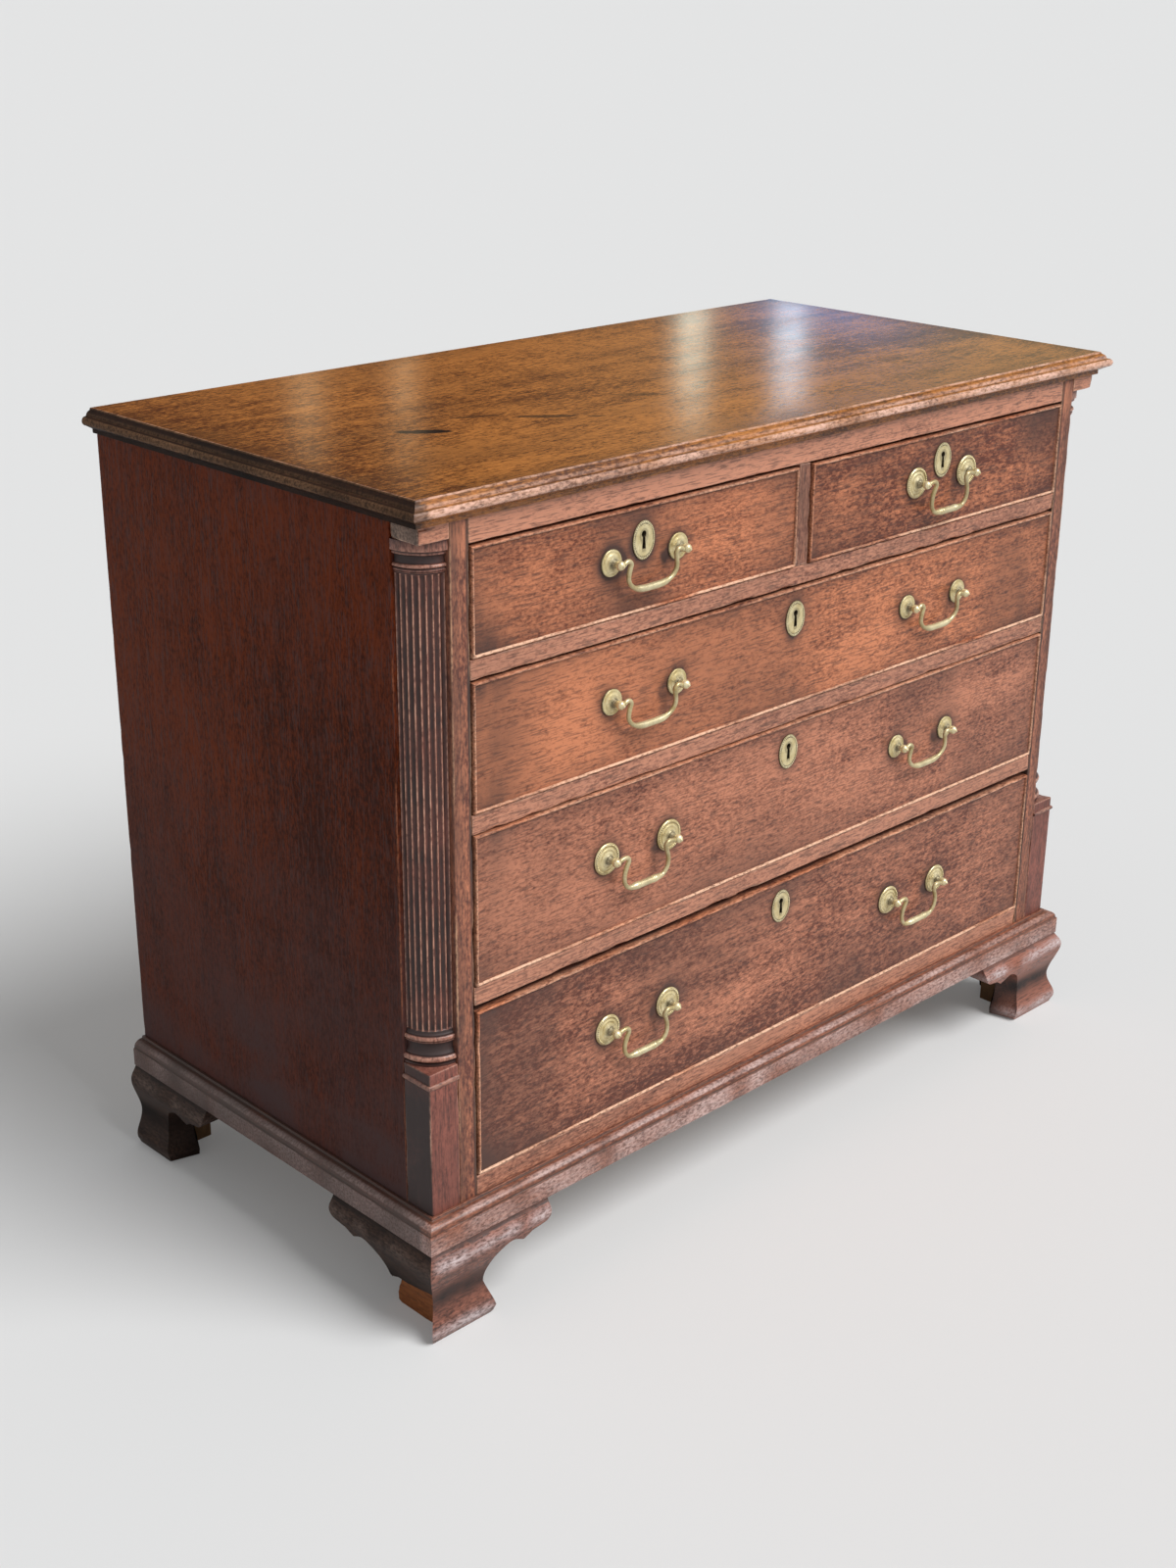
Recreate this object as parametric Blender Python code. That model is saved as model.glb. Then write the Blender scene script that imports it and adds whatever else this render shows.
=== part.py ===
"""Mahogany chest of drawers: two short drawers over three long ones, on ogee bracket feet.

Metres, +Z up. X runs from left to right as seen from the front, the front faces -Y. The origin is on the
floor, under the middle of the chest's bounding box with its drawers shut and its bails hanging.
"""

import bmesh
import bpy
import numpy as np
from math import cos, pi, radians, sin

# Clearances
FIT = 0.0003  # air between two pieces that are glued, nailed or resting on each other
SHORT_TOP_GAP = 0.0030  # daylight over each drawer front, wider where the wood has shrunk
LONG_UPPER_TOP_GAP = 0.0025
LONG_MIDDLE_TOP_GAP = 0.0012
LONG_LOWER_TOP_GAP = 0.0068
FRONT_BOTTOM_GAP = 0.0010
FRONT_SIDE_GAP = 0.0020
MUNTIN_SIDE_GAP = 0.0025
GUIDE_GAP = 0.0015  # between a drawer side and the guide strip beside it

# Case
CASE_WIDTH = 1.040
CASE_DEPTH = 0.512
SIDE_THICKNESS = 0.018
BACK_THICKNESS = 0.012
TOP_THICKNESS = 0.026
FOOT_HEIGHT = 0.1015
BASE_HEIGHT = 0.0335
BOTTOM_THICKNESS = 0.020
BOTTOM_RISE = 0.001  # of its underside over the base moulding
RAIL_THICKNESS = 0.020
FRIEZE_HEIGHT = 0.025
RAIL_DEPTH = 0.060
KICKER_WIDTH = 0.060
STILE_WIDTH = 0.022
MUNTIN_WIDTH = 0.018
POST_BACK = 0.020  # thickness of the corner post behind the column
GUIDE_HEIGHT = 0.015
STOP_WIDTH = 0.050
STOP_DEPTH = 0.022
STOP_HEIGHT = 0.005

# Drawer openings, bottom to top
LONG_LOWER_OPENING = 0.1915
LONG_MIDDLE_OPENING = 0.1605
LONG_UPPER_OPENING = 0.1335
SHORT_OPENING = 0.1095

# Corner column and its blocks
RECESS_WIDTH = 0.037
RECESS_DEPTH = 0.039
FRIEZE_BLOCK_HEIGHT = 0.0165
PLINTH_HEIGHT = 0.192  # from the top of the feet to the top of the block
PLINTH_CAP_DROP = 0.0115
PLINTH_CAP_HEIGHT = 0.0055
PLINTH_CAP_OUT = 0.0022
SHAFT_RADIUS = 0.0315
RING_OUT = 0.0050  # how far the thickest rings stand out from the shaft
FLUTES = 8
FLUTE_DEPTH = 0.0016
FLUTE_END = 0.0025  # length over which a flute runs out
CAPITAL_HEIGHT = 0.031
BASE_TURNING_HEIGHT = 0.036

# Mouldings
TOP_OVERHANG = 0.0160
BASE_OUT = 0.0162
BASE_BAND_HEIGHT = 0.0222

# Feet
WING_LENGTH = 0.142
ANKLE_LENGTH = 0.0655
FOOT_BULGE = 0.0225  # how far the ogee swells out from the case side
FACING_INSET = 0.016  # how far the back of a facing lies behind the case side
GLUE_BLOCK = 0.034
WING_BLOCK = 0.022
WING_BLOCK_PAST = 0.014
BREAK_DEPTH = 0.009  # of the wood left on the broken facing
BREAK_SLOPE = 0.22

# Drawers
FRONT_THICKNESS = 0.020
BEAD_WIDTH = 0.0030
BEAD_PROUD = 0.0025
DRAWER_BACK_ROOM = 0.020  # between a shut drawer and the back of the case
BOX_WALL = 0.010
BOX_BOTTOM = 0.007
BOX_BOTTOM_RISE = 0.009
BOX_TOP_DROP = 0.006

# Locks
KEYHOLES = {  # of each drawer: to the right of its handle or its middle, and down from the top of the front
    "short_left": (-0.0035, 0.0345),
    "short_right": (-0.0010, 0.0305),
    "long_upper": (-0.0065, 0.0340),
    "long_middle": (-0.0080, 0.0320),
    "long_lower": (-0.0085, 0.0305),
}
LOCK_WIDTH = 0.062
LOCK_HEIGHT = 0.052
LOCK_THICKNESS = 0.010
ESCUTCHEON_WIDTH = 0.030
ESCUTCHEON_HEIGHT = 0.039
ESCUTCHEON_THICKNESS = 0.0016
BUSH_WIDTH = 0.012
BUSH_HEIGHT = 0.022
KEY_RADIUS = 0.0026
KEY_SLOT_WIDTH = 0.0026
KEY_SLOT_LENGTH = 0.0105

# Handles
HANDLE_CENTRE = 0.235  # of a handle from the middle of the chest
HANDLE_SHIFTS = {  # how far to the right of that place each one was fixed
    "short_left": -0.0012,
    "short_right": -0.0008,
    "long_upper_left": 0.0018,
    "long_upper_right": -0.0022,
    "long_middle_left": -0.0037,
    "long_middle_right": -0.0058,
    "long_lower_left": 0.0007,
    "long_lower_right": -0.0025,
}
HANDLE_RISE = 0.0035  # of the posts over the middle of the drawer front
LOWER_HANDLE_RISE = 0.0063
BANDED_PITCH = 0.090  # between the two posts of a handle
PLAIN_PITCH = 0.092
BANDED_PIVOT_OUT = 0.0148
PLAIN_PIVOT_OUT = 0.0130
BALL_RADIUS = 0.0048
FINIAL_LENGTH = 0.0014
BOLT_RADIUS = 0.0024
NUT_RADIUS = 0.006
NUT_THICKNESS = 0.004
BANDED_ROSETTE_RADIUS = 0.0172
PLAIN_ROSETTE_RADIUS = 0.0138
ROSETTE_THICKNESS = 0.0036
BAIL_RADIUS = 0.0020
BANDED_GRIP_RADIUS = 0.0036
PLAIN_GRIP_RADIUS = 0.0031
BANDED_BAIL_DROP = 0.0355
PLAIN_BAIL_DROP = 0.0296
GRIP_TAPER_START = 0.026  # from the middle of the bail
GRIP_TAPER = 0.012
PIN_RADIUS = 0.0013
PIN_DEPTH = 0.0035

# Heights and planes that follow
BASE_TOP = FOOT_HEIGHT + BASE_HEIGHT
BOTTOM_UNDER = BASE_TOP + BOTTOM_RISE
LONG_LOWER_FLOOR = BOTTOM_UNDER + BOTTOM_THICKNESS
LONG_MIDDLE_FLOOR = LONG_LOWER_FLOOR + LONG_LOWER_OPENING + RAIL_THICKNESS
LONG_UPPER_FLOOR = LONG_MIDDLE_FLOOR + LONG_MIDDLE_OPENING + RAIL_THICKNESS
SHORT_FLOOR = LONG_UPPER_FLOOR + LONG_UPPER_OPENING + RAIL_THICKNESS
FRIEZE_UNDER = SHORT_FLOOR + SHORT_OPENING
CASE_TOP = FRIEZE_UNDER + FRIEZE_HEIGHT
HALF = CASE_WIDTH / 2
SIDE_INNER = HALF - SIDE_THICKNESS
RECESS_EDGE = HALF - RECESS_WIDTH
OPENING_HALF = RECESS_EDGE - STILE_WIDTH
HANDLE_REACH = max(BANDED_PIVOT_OUT, PLAIN_PIVOT_OUT) + BALL_RADIUS + FINIAL_LENGTH
FRONT_Y = -(CASE_DEPTH - max(HANDLE_REACH, FOOT_BULGE)) / 2
BACK_Y = FRONT_Y + CASE_DEPTH
RECESS_Y = FRONT_Y + RECESS_DEPTH
POST_BACK_Y = RECESS_Y + POST_BACK
INNER_BACK_Y = BACK_Y - BACK_THICKNESS
DRAWER_LENGTH = CASE_DEPTH - BACK_THICKNESS - DRAWER_BACK_ROOM


def material(name, colour, roughness, metallic=0.0):
    finish = bpy.data.materials.new(name)
    finish.use_nodes = True
    shader = finish.node_tree.nodes["Principled BSDF"]
    shader.inputs["Base Color"].default_value = (*colour, 1.0)
    shader.inputs["Roughness"].default_value = roughness
    shader.inputs["Metallic"].default_value = metallic
    finish.diffuse_color = (*colour, 1.0)
    return finish


def smooth(points, steps):
    """Samples of a curve through the points, whose slope at each is half the chord of its neighbours."""
    p = np.array(points, float)
    p = np.vstack([2 * p[0] - p[1], p, 2 * p[-1] - p[-2]])
    t = np.arange(steps)[:, None] / steps
    spans = [
        b + t * (c - a) / 2 + t**2 * (a - 2.5 * b + 2 * c - d / 2) + t**3 * (3 * b - a - 3 * c + d) / 2
        for a, b, c, d in zip(p, p[1:], p[2:], p[3:])
    ]
    return [tuple(q) for q in np.vstack(spans + [p[-2:-1]])]


def arc(centre, radius, start, end, count):
    """Points on a circle, from one angle in degrees to another."""
    turns = np.radians(np.linspace(start, end, count))
    return [(centre[0] + radius * cos(a), centre[1] + radius * sin(a)) for a in turns]


def circle(radius, count):
    return arc((0, 0), radius, 0, 360 * (count - 1) / count, count)


def oval(width, height, count):
    return [(x * width / 2, z * height / 2) for x, z in circle(1, count)]


def solid(name, rings, finish, at=(0, 0, 0), parent=None, rounded=False):
    """A closed body through rings of points, with a flat cap on the first and the last ring."""
    bm = bmesh.new()
    rows = [[bm.verts.new([float(c) for c in p]) for p in ring] for ring in rings]
    for low, high in zip(rows, rows[1:]):
        for i in range(len(low)):
            j = (i + 1) % len(low)
            bm.faces.new((low[i], low[j], high[j], high[i]))
    bm.faces.new(rows[0])
    bm.faces.new(rows[-1])
    bmesh.ops.recalc_face_normals(bm, faces=bm.faces)
    mesh = bpy.data.meshes.new(name)
    bm.to_mesh(mesh)
    bm.free()
    if rounded:
        mesh.shade_smooth()
        mesh.set_sharp_from_angle(angle=radians(35))
    mesh.materials.append(finish)
    piece = bpy.data.objects.new(name, mesh)
    bpy.context.scene.collection.objects.link(piece)
    piece.location = at
    piece.parent = parent
    return piece


def prism(name, outline, along, start, end, finish, **placing):
    """An outline pushed along X, Y or Z. Its points are the other two coordinates, in order."""
    place = {
        "X": lambda p, d: (d, p[0], p[1]),
        "Y": lambda p, d: (p[0], d, p[1]),
        "Z": lambda p, d: (p[0], p[1], d),
    }[along]
    return solid(name, [[place(p, d) for p in outline] for d in (start, end)], finish, **placing)


def board(name, low, high, finish, **placing):
    outline = [(low[0], low[1]), (high[0], low[1]), (high[0], high[1]), (low[0], high[1])]
    return prism(name, outline, "Z", low[2], high[2], finish, **placing)


def combine(piece, operation, tool):
    """Cuts the tool out of a piece, or joins it on, and hides the tool."""
    tool.hide_render = True
    tool.display_type = "WIRE"
    step = piece.modifiers.new(tool.name, "BOOLEAN")
    step.operation = operation
    step.solver = "EXACT"
    step.object = tool


def mirrored(outline, side):
    return [(side * x, other) for x, other in outline]


def turned(name, profile, count, finish, **placing):
    """A piece turned about the Y axis, from (distance along Y, radius) pairs."""
    rings = [[(x, y, z) for x, z in circle(radius, count)] for y, radius in profile]
    return solid(name, rings, finish, rounded=True, **placing)


# Case


def top_profile():
    """The top's moulded edge as (overhang, height over the underside): hollow, nose and fillet."""
    nose = arc((TOP_OVERHANG - 0.0050, 0.0134), 0.0050, -80, 60, 5)
    hollow = [(TOP_OVERHANG - 0.0055, 0.0200), (0.0068, 0.0230), (0.0052, TOP_THICKNESS)]
    return [(0.0, 0.0), (0.0045, 0.0), (0.0045, 0.0042)] + nose + hollow


def top_board(finish):
    rings = []
    for out, rise in top_profile():
        x, front = HALF + out, FRONT_Y - out
        rings.append([(-x, BACK_Y, rise), (-x, front, rise), (x, front, rise), (x, BACK_Y, rise)])
    solid("top_board", rings, finish, at=(0, 0, CASE_TOP))


def side_panel(name, side, finish):
    edges = sorted((side * SIDE_INNER, side * HALF))
    low = (edges[0], RECESS_Y, FOOT_HEIGHT)
    high = (edges[1], BACK_Y, CASE_TOP - FIT)
    board(name, low, high, finish)


def back_panel(finish):
    reach = SIDE_INNER - FIT
    board("back_panel", (-reach, INNER_BACK_Y, FOOT_HEIGHT), (reach, BACK_Y, CASE_TOP - FIT), finish)


def corner_post(name, side, finish):
    outer = SIDE_INNER - FIT
    outline = [
        (RECESS_EDGE, FRONT_Y),
        (OPENING_HALF, FRONT_Y),
        (OPENING_HALF, POST_BACK_Y),
        (outer, POST_BACK_Y),
        (outer, RECESS_Y),
        (RECESS_EDGE, RECESS_Y),
    ]
    prism(name, mirrored(outline, side), "Z", FOOT_HEIGHT, CASE_TOP - FIT, finish)


def shelf_outline():
    """Plan of a board that fills the case: between the posts in front, between the sides behind them."""
    front, inner = OPENING_HALF - FIT, SIDE_INNER - FIT
    shoulder, back = POST_BACK_Y + FIT, INNER_BACK_Y - FIT
    right = [(front, FRONT_Y), (front, shoulder), (inner, shoulder), (inner, back)]
    return right + mirrored(right[::-1], -1)


def add_guides(shelf, floor, finish):
    """Joins the strips that guide the drawer sides, glued along both ends of a shelf."""
    inner = OPENING_HALF - FRONT_SIDE_GAP + GUIDE_GAP
    for side in (-1, 1):
        edges = sorted((side * inner, side * (SIDE_INNER - FIT)))
        low = (edges[0], POST_BACK_Y + FIT, floor - RAIL_THICKNESS / 2)
        high = (edges[1], INNER_BACK_Y - FIT, floor + GUIDE_HEIGHT)
        combine(shelf, "UNION", board(f"{shelf.name}_guide_{side}", low, high, finish))


def add_stops(shelf, floor, centres, finish):
    """Joins the small blocks that the back of a drawer front shuts against."""
    front = FRONT_Y + FRONT_THICKNESS + FIT
    for n, x in enumerate(centres):
        low = (x - STOP_WIDTH / 2, front, floor - RAIL_THICKNESS / 2)
        high = (x + STOP_WIDTH / 2, front + STOP_DEPTH, floor + STOP_HEIGHT)
        combine(shelf, "UNION", board(f"{shelf.name}_stop_{n}", low, high, finish))


def dust_board(name, floor, stops, finish):
    shelf = prism(name, shelf_outline(), "Z", floor - RAIL_THICKNESS, floor, finish)
    add_guides(shelf, floor, finish)
    add_stops(shelf, floor, stops, finish)


def case_bottom(finish):
    """The bottom board with the base rail glued under its front edge."""
    shelf = prism("case_bottom", shelf_outline(), "Z", BOTTOM_UNDER, LONG_LOWER_FLOOR, finish)
    add_guides(shelf, LONG_LOWER_FLOOR, finish)
    add_stops(shelf, LONG_LOWER_FLOOR, (-HANDLE_CENTRE, HANDLE_CENTRE), finish)
    reach = OPENING_HALF - FIT
    low = (-reach, FRONT_Y, FOOT_HEIGHT)
    high = (reach, FRONT_Y + FRONT_THICKNESS, BOTTOM_UNDER + BOTTOM_THICKNESS / 2)
    combine(shelf, "UNION", board("base_rail", low, high, finish))


def frieze_rail(finish):
    """The rail under the top with three kickers behind it, which keep an open drawer level."""
    front, inner = OPENING_HALF - FIT, SIDE_INNER - FIT
    shoulder, back = POST_BACK_Y + FIT, INNER_BACK_Y - FIT
    rail_back = FRONT_Y + RAIL_DEPTH
    right = [
        (front, FRONT_Y),
        (front, shoulder),
        (inner, shoulder),
        (inner, back),
        (inner - KICKER_WIDTH, back),
        (inner - KICKER_WIDTH, rail_back),
        (KICKER_WIDTH / 2, rail_back),
        (KICKER_WIDTH / 2, back),
    ]
    outline = right + mirrored(right[::-1], -1)
    prism("frieze_rail", outline, "Z", FRIEZE_UNDER, CASE_TOP - FIT, finish)


def centre_muntin(finish):
    """The upright between the short drawers, with the guide strip that runs back from its foot."""
    floor, top = SHORT_FLOOR + FIT, FRIEZE_UNDER - FIT
    outline = [
        (FRONT_Y, floor),
        (INNER_BACK_Y - FIT, floor),
        (INNER_BACK_Y - FIT, floor + GUIDE_HEIGHT),
        (FRONT_Y + RAIL_DEPTH, floor + GUIDE_HEIGHT),
        (FRONT_Y + RAIL_DEPTH, top),
        (FRONT_Y, top),
    ]
    prism("centre_muntin", outline, "X", -MUNTIN_WIDTH / 2, MUNTIN_WIDTH / 2, finish)


# Corner columns


def column_levels():
    """The column's turned parts as (height, radius) going up, and the height of the block over them.

    The base has a torus, a hollow and an astragal. The capital has a ring and an astragal, a hollow
    neck, and a ring under the drum that carries the block.
    """
    foot = FOOT_HEIGHT + PLINTH_HEIGHT + FIT
    head = CASE_TOP - FIT - FRIEZE_BLOCK_HEIGHT
    capital = head - CAPITAL_HEIGHT
    base = (
        (0.0000, 0.0038),
        (0.0030, 0.0038),
        (0.0040, RING_OUT),
        (0.0105, RING_OUT),
        (0.0130, 0.0018),
        (0.0190, 0.0000),
        (0.0252, 0.0018),
        (0.0265, 0.0032),
        (0.0312, 0.0028),
        (0.0325, 0.0010),
        (BASE_TURNING_HEIGHT, 0.0000),
    )
    neck = (
        (0.0000, 0.0000),
        (0.0020, 0.0016),
        (0.0045, 0.0016),
        (0.0062, 0.0030),
        (0.0085, 0.0022),
        (0.0105, 0.0004),
        (0.0165, 0.0008),
        (0.0180, 0.0030),
        (0.0205, 0.0030),
        (0.0212, RING_OUT),
        (CAPITAL_HEIGHT, RING_OUT),
    )
    lower = [(foot + rise, SHAFT_RADIUS + out) for rise, out in base]
    upper = [(capital + rise, SHAFT_RADIUS + out) for rise, out in neck]
    return lower, upper, head


def quarter_column(name, side, finish):
    """A fluted quarter column whose corner lies in the recess, with the square frieze block on it.

    Each ring holds the corner and a quarter turn of points: a circle in the turned parts, dented at the
    flutes in the shaft, and the recess's own rectangle in the block.
    """
    corner_x, corner_y = RECESS_EDGE + FIT, RECESS_Y - FIT
    pitch = pi / 2 / FLUTES
    spots = [n * pitch / 2 for n in range(2 * FLUTES + 1)]

    def ring(height, reach):
        points = [(0, 0)] + [reach(a) for a in spots]
        return [(side * (corner_x + x), corner_y - y, height) for x, y in points]

    def round_reach(radius):
        return lambda a: (radius * cos(a), radius * sin(a))

    def fluted_reach(a):
        radius = SHAFT_RADIUS - FLUTE_DEPTH * sin(pi * a / pitch) ** 2
        return (radius * cos(a), radius * sin(a))

    def block_reach(a):
        far = max(cos(a), sin(a))
        return ((RECESS_WIDTH - FIT) * cos(a) / far, (RECESS_DEPTH - FIT) * sin(a) / far)

    lower, upper, head = column_levels()
    rings = [ring(z, round_reach(r)) for z, r in lower]
    rings.append(ring(lower[-1][0] + FLUTE_END, fluted_reach))
    rings.append(ring(upper[0][0] - FLUTE_END, fluted_reach))
    rings += [ring(z, round_reach(r)) for z, r in upper]
    rings += [ring(z, block_reach) for z in (head, CASE_TOP - FIT)]
    solid(name, rings, finish)


def plinth_block(name, side, finish):
    """The block under the column, with a small moulding let round its two outer faces."""
    top = FOOT_HEIGHT + PLINTH_HEIGHT
    cap = top - PLINTH_CAP_DROP
    under = cap - PLINTH_CAP_HEIGHT
    middle = (cap + under) / 2
    levels = [
        (FOOT_HEIGHT, 0),
        (under, 0),
        (under, PLINTH_CAP_OUT * 0.6),
        (middle, PLINTH_CAP_OUT),
        (cap, PLINTH_CAP_OUT * 0.8),
        (cap, 0),
        (top, 0),
    ]
    inner, behind = RECESS_EDGE + FIT, RECESS_Y - FIT
    rings = []
    for z, out in levels:
        corners = [(inner, behind), (HALF + out, behind), (HALF + out, FRONT_Y - out), (inner, FRONT_Y - out)]
        rings.append([(side * x, y, z) for x, y in corners])
    solid(name, rings, finish)


# Base moulding and feet


def base_profile():
    """Section of the base moulding as (distance out from the case, height): band, ovolo and fillet."""
    band = FOOT_HEIGHT + FIT + BASE_BAND_HEIGHT
    radius = BASE_TOP - 0.0026 - (band + 0.0008)
    start = BASE_OUT - 0.0014 - radius
    ovolo = arc((start, band + 0.0008), radius, 0, 90, 5)
    return (
        [(FIT, FOOT_HEIGHT + FIT), (BASE_OUT, FOOT_HEIGHT + FIT), (BASE_OUT, band), (BASE_OUT - 0.0014, band)]
        + ovolo
        + [(0.0036, BASE_TOP - 0.0026), (0.0030, BASE_TOP), (FIT, BASE_TOP)]
    )


def base_moulding(finish):
    section = base_profile()
    rings = [
        [(-HALF - out, BACK_Y, z) for out, z in section],
        [(-HALF - out, FRONT_Y - out, z) for out, z in section],
        [(HALF + out, FRONT_Y - out, z) for out, z in section],
        [(HALF + out, BACK_Y, z) for out, z in section],
    ]
    solid("base_moulding", rings, finish)


def ogee_section():
    """Section of a foot facing as (distance out from the case side, height), open at its back."""
    tall, top = FOOT_HEIGHT, FOOT_HEIGHT - FIT
    toe, waist, bulge = (0.020, tall * 0.14), (0.0115, tall * 0.43), (FOOT_BULGE, tall * 0.82)
    face = smooth([(0.016, 0.0), toe, waist, bulge, (0.015, top)], 3)
    return [(-FACING_INSET, 0.0)] + face + [(-FACING_INSET, top)]


def waste_outline():
    """What is sawn away beside the scrolled edge of a facing, as (distance from the corner, height).

    The edge goes down round the lobe at the wing's tip, in a dip to the cusp, over the arch and down
    the ankle to the toe.
    """
    wing, ankle, tall = WING_LENGTH, ANKLE_LENGTH, FOOT_HEIGHT
    lobe = arc((wing - 0.013, tall * 0.905), 0.013, 0, -80, 4)
    dip = [(wing - 0.026, tall * 0.755)]
    arch = [
        (wing - 0.0365, tall * 0.685),
        (ankle + 0.021, tall * 0.760),
        (ankle + 0.001, tall * 0.645),
        (ankle - 0.010, tall * 0.425),
        (ankle - 0.008, tall * 0.215),
        (ankle, tall * 0.095),
    ]
    far, past = wing + 0.060, 0.010
    start = [(far, -past), (far, tall + past), (wing, tall + past)]
    return start + lobe + dip + smooth(arch, 3) + [(ankle - 0.004, -past)]


def break_facing(foot, side, finish):
    """Takes off the lower end of a foot's side facing, which has split away along the grain.

    The tool's inner edge in plan runs along the mitre, so that the front facing stays whole, and its top
    slopes down from the corner.
    """
    deep, wide, long = BREAK_DEPTH - FACING_INSET, 0.03, ANKLE_LENGTH + 0.02
    plan = [(deep, -deep), (wide, -wide), (wide, long), (deep, long)]
    rings = [
        [(side * (HALF + out), FRONT_Y + back, level(back)) for out, back in plan]
        for level in (lambda back: -0.01, lambda back: FOOT_HEIGHT * 0.57 - BREAK_SLOPE * back)
    ]
    combine(foot, "DIFFERENCE", solid(f"{foot.name}_break", rings, finish))


def front_foot(name, side, finish, block_finish):
    """Two ogee facings mitred at the corner, with glue blocks behind them."""
    section, top = ogee_section(), FOOT_HEIGHT - FIT
    far = WING_LENGTH + 0.03
    rings = [
        [(side * (HALF + out), FRONT_Y + far, z) for out, z in section],
        [(side * (HALF + out), FRONT_Y - out, z) for out, z in section],
        [(side * (HALF - far), FRONT_Y - out, z) for out, z in section],
    ]
    foot = solid(name, rings, finish)
    waste = waste_outline()
    front_waste = [(side * (HALF - t), z) for t, z in waste]
    side_waste = [(FRONT_Y + t, z) for t, z in waste]
    clear = FACING_INSET + 0.010
    front_cut = prism(f"{name}_front_cut", front_waste, "Y", FRONT_Y - 0.05, FRONT_Y + clear, finish)
    combine(foot, "DIFFERENCE", front_cut)
    edges = sorted((side * (HALF - clear), side * (HALF + 0.05)))
    combine(foot, "DIFFERENCE", prism(f"{name}_side_cut", side_waste, "X", edges[0], edges[1], finish))
    add_glue_blocks(foot, name, side, FRONT_Y, 1, top, block_finish)
    return foot


def add_glue_blocks(foot, name, side, corner_y, inward, top, finish):
    """Joins the square block in the corner and the two strips under the case to a foot."""
    near = FACING_INSET - 0.001
    wing = WING_LENGTH + WING_BLOCK_PAST
    spans = {
        "corner": ((near, near + GLUE_BLOCK), (near, near + GLUE_BLOCK), (0.003, top)),
        "long": ((near, wing), (near, near + WING_BLOCK), (top - WING_BLOCK, top)),
        "short": ((near, near + WING_BLOCK), (near, wing), (top - WING_BLOCK, top)),
    }
    for part, (across, deep, tall) in spans.items():
        xs = sorted(side * (HALF - t) for t in across)
        ys = sorted(corner_y + inward * t for t in deep)
        block = board(f"{name}_{part}_block", (xs[0], ys[0], tall[0]), (xs[1], ys[1], tall[1]), finish)
        combine(foot, "UNION", block)


def rear_foot(name, side, finish, block_finish):
    """One ogee facing along the side, a plain sawn bracket across the back, and the glue blocks."""
    section, top = ogee_section(), FOOT_HEIGHT - FIT
    far = WING_LENGTH + 0.03
    rings = [[(side * (HALF + out), y, z) for out, z in section] for y in (BACK_Y, BACK_Y - far)]
    foot = solid(name, rings, finish)
    waste = [(BACK_Y - t, z) for t, z in waste_outline()]
    edges = sorted((side * (HALF - FACING_INSET - 0.01), side * (HALF + 0.05)))
    combine(foot, "DIFFERENCE", prism(f"{name}_side_cut", waste, "X", edges[0], edges[1], finish))
    near, foot_end, thick = FACING_INSET - 0.002, ANKLE_LENGTH - 0.006, FACING_INSET + 0.003
    bracket = [(near, 0), (foot_end, 0), (foot_end, top * 0.3), (WING_LENGTH, top * 0.88)]
    bracket += [(WING_LENGTH, top), (near, top)]
    bracket = [(side * (HALF - t), z) for t, z in bracket]
    combine(foot, "UNION", prism(f"{name}_bracket", bracket, "Y", BACK_Y - thick, BACK_Y, block_finish))
    add_glue_blocks(foot, name, side, BACK_Y, -1, top, block_finish)


# Drawers


def keyhole():
    """A round hole over a narrow slot, as (sideways, up) from the centre of the round part."""
    half = KEY_SLOT_WIDTH / 2
    open_angle = np.degrees(np.arcsin(half / KEY_RADIUS))
    bow = arc((0, 0), KEY_RADIUS, -90 + open_angle, 270 - open_angle, 9)
    return bow + [(-half, -KEY_SLOT_LENGTH), (half, -KEY_SLOT_LENGTH)]


def drawer_front(name, width, height, posts, key, finish, holder):
    """The front board with its cock bead, bored for the posts and cut for the lock.

    Its own frame has the origin in the middle of the lower edge, on the plane of its face.
    """
    proud, wide = BEAD_PROUD, BEAD_WIDTH
    steps = [
        (FRONT_THICKNESS, 0),
        (-proud * 0.6, 0),
        (-proud, wide * 0.3),
        (-proud, wide * 0.7),
        (-proud * 0.6, wide),
        (0, wide),
    ]
    rings = []
    for y, inset in steps:
        x, low, high = width / 2 - inset, inset, height - inset
        rings.append([(-x, y, low), (x, y, low), (x, y, high), (-x, y, high)])
    front = solid(name, rings, finish, parent=holder)
    through = (-0.01, FRONT_THICKNESS + 0.01)
    for n, (x, z) in enumerate(posts):
        hole = [(x + a, z + b) for a, b in circle(BOLT_RADIUS + FIT, 8)]
        combine(front, "DIFFERENCE", prism(f"{name}_bore_{n}", hole, "Y", *through, finish, parent=holder))
    key_x, key_z = key
    bush = [(key_x + a, key_z + b) for a, b in oval(BUSH_WIDTH + 2 * FIT, BUSH_HEIGHT + 2 * FIT, 12)]
    combine(front, "DIFFERENCE", prism(f"{name}_key_bore", bush, "Y", *through, finish, parent=holder))
    low = (key_x - LOCK_WIDTH / 2 - FIT, FRONT_THICKNESS - LOCK_THICKNESS - FIT, height - LOCK_HEIGHT - FIT)
    high = (key_x + LOCK_WIDTH / 2 + FIT, FRONT_THICKNESS + 0.01, height + 0.01)
    combine(front, "DIFFERENCE", board(f"{name}_mortise", low, high, finish, parent=holder))


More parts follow.
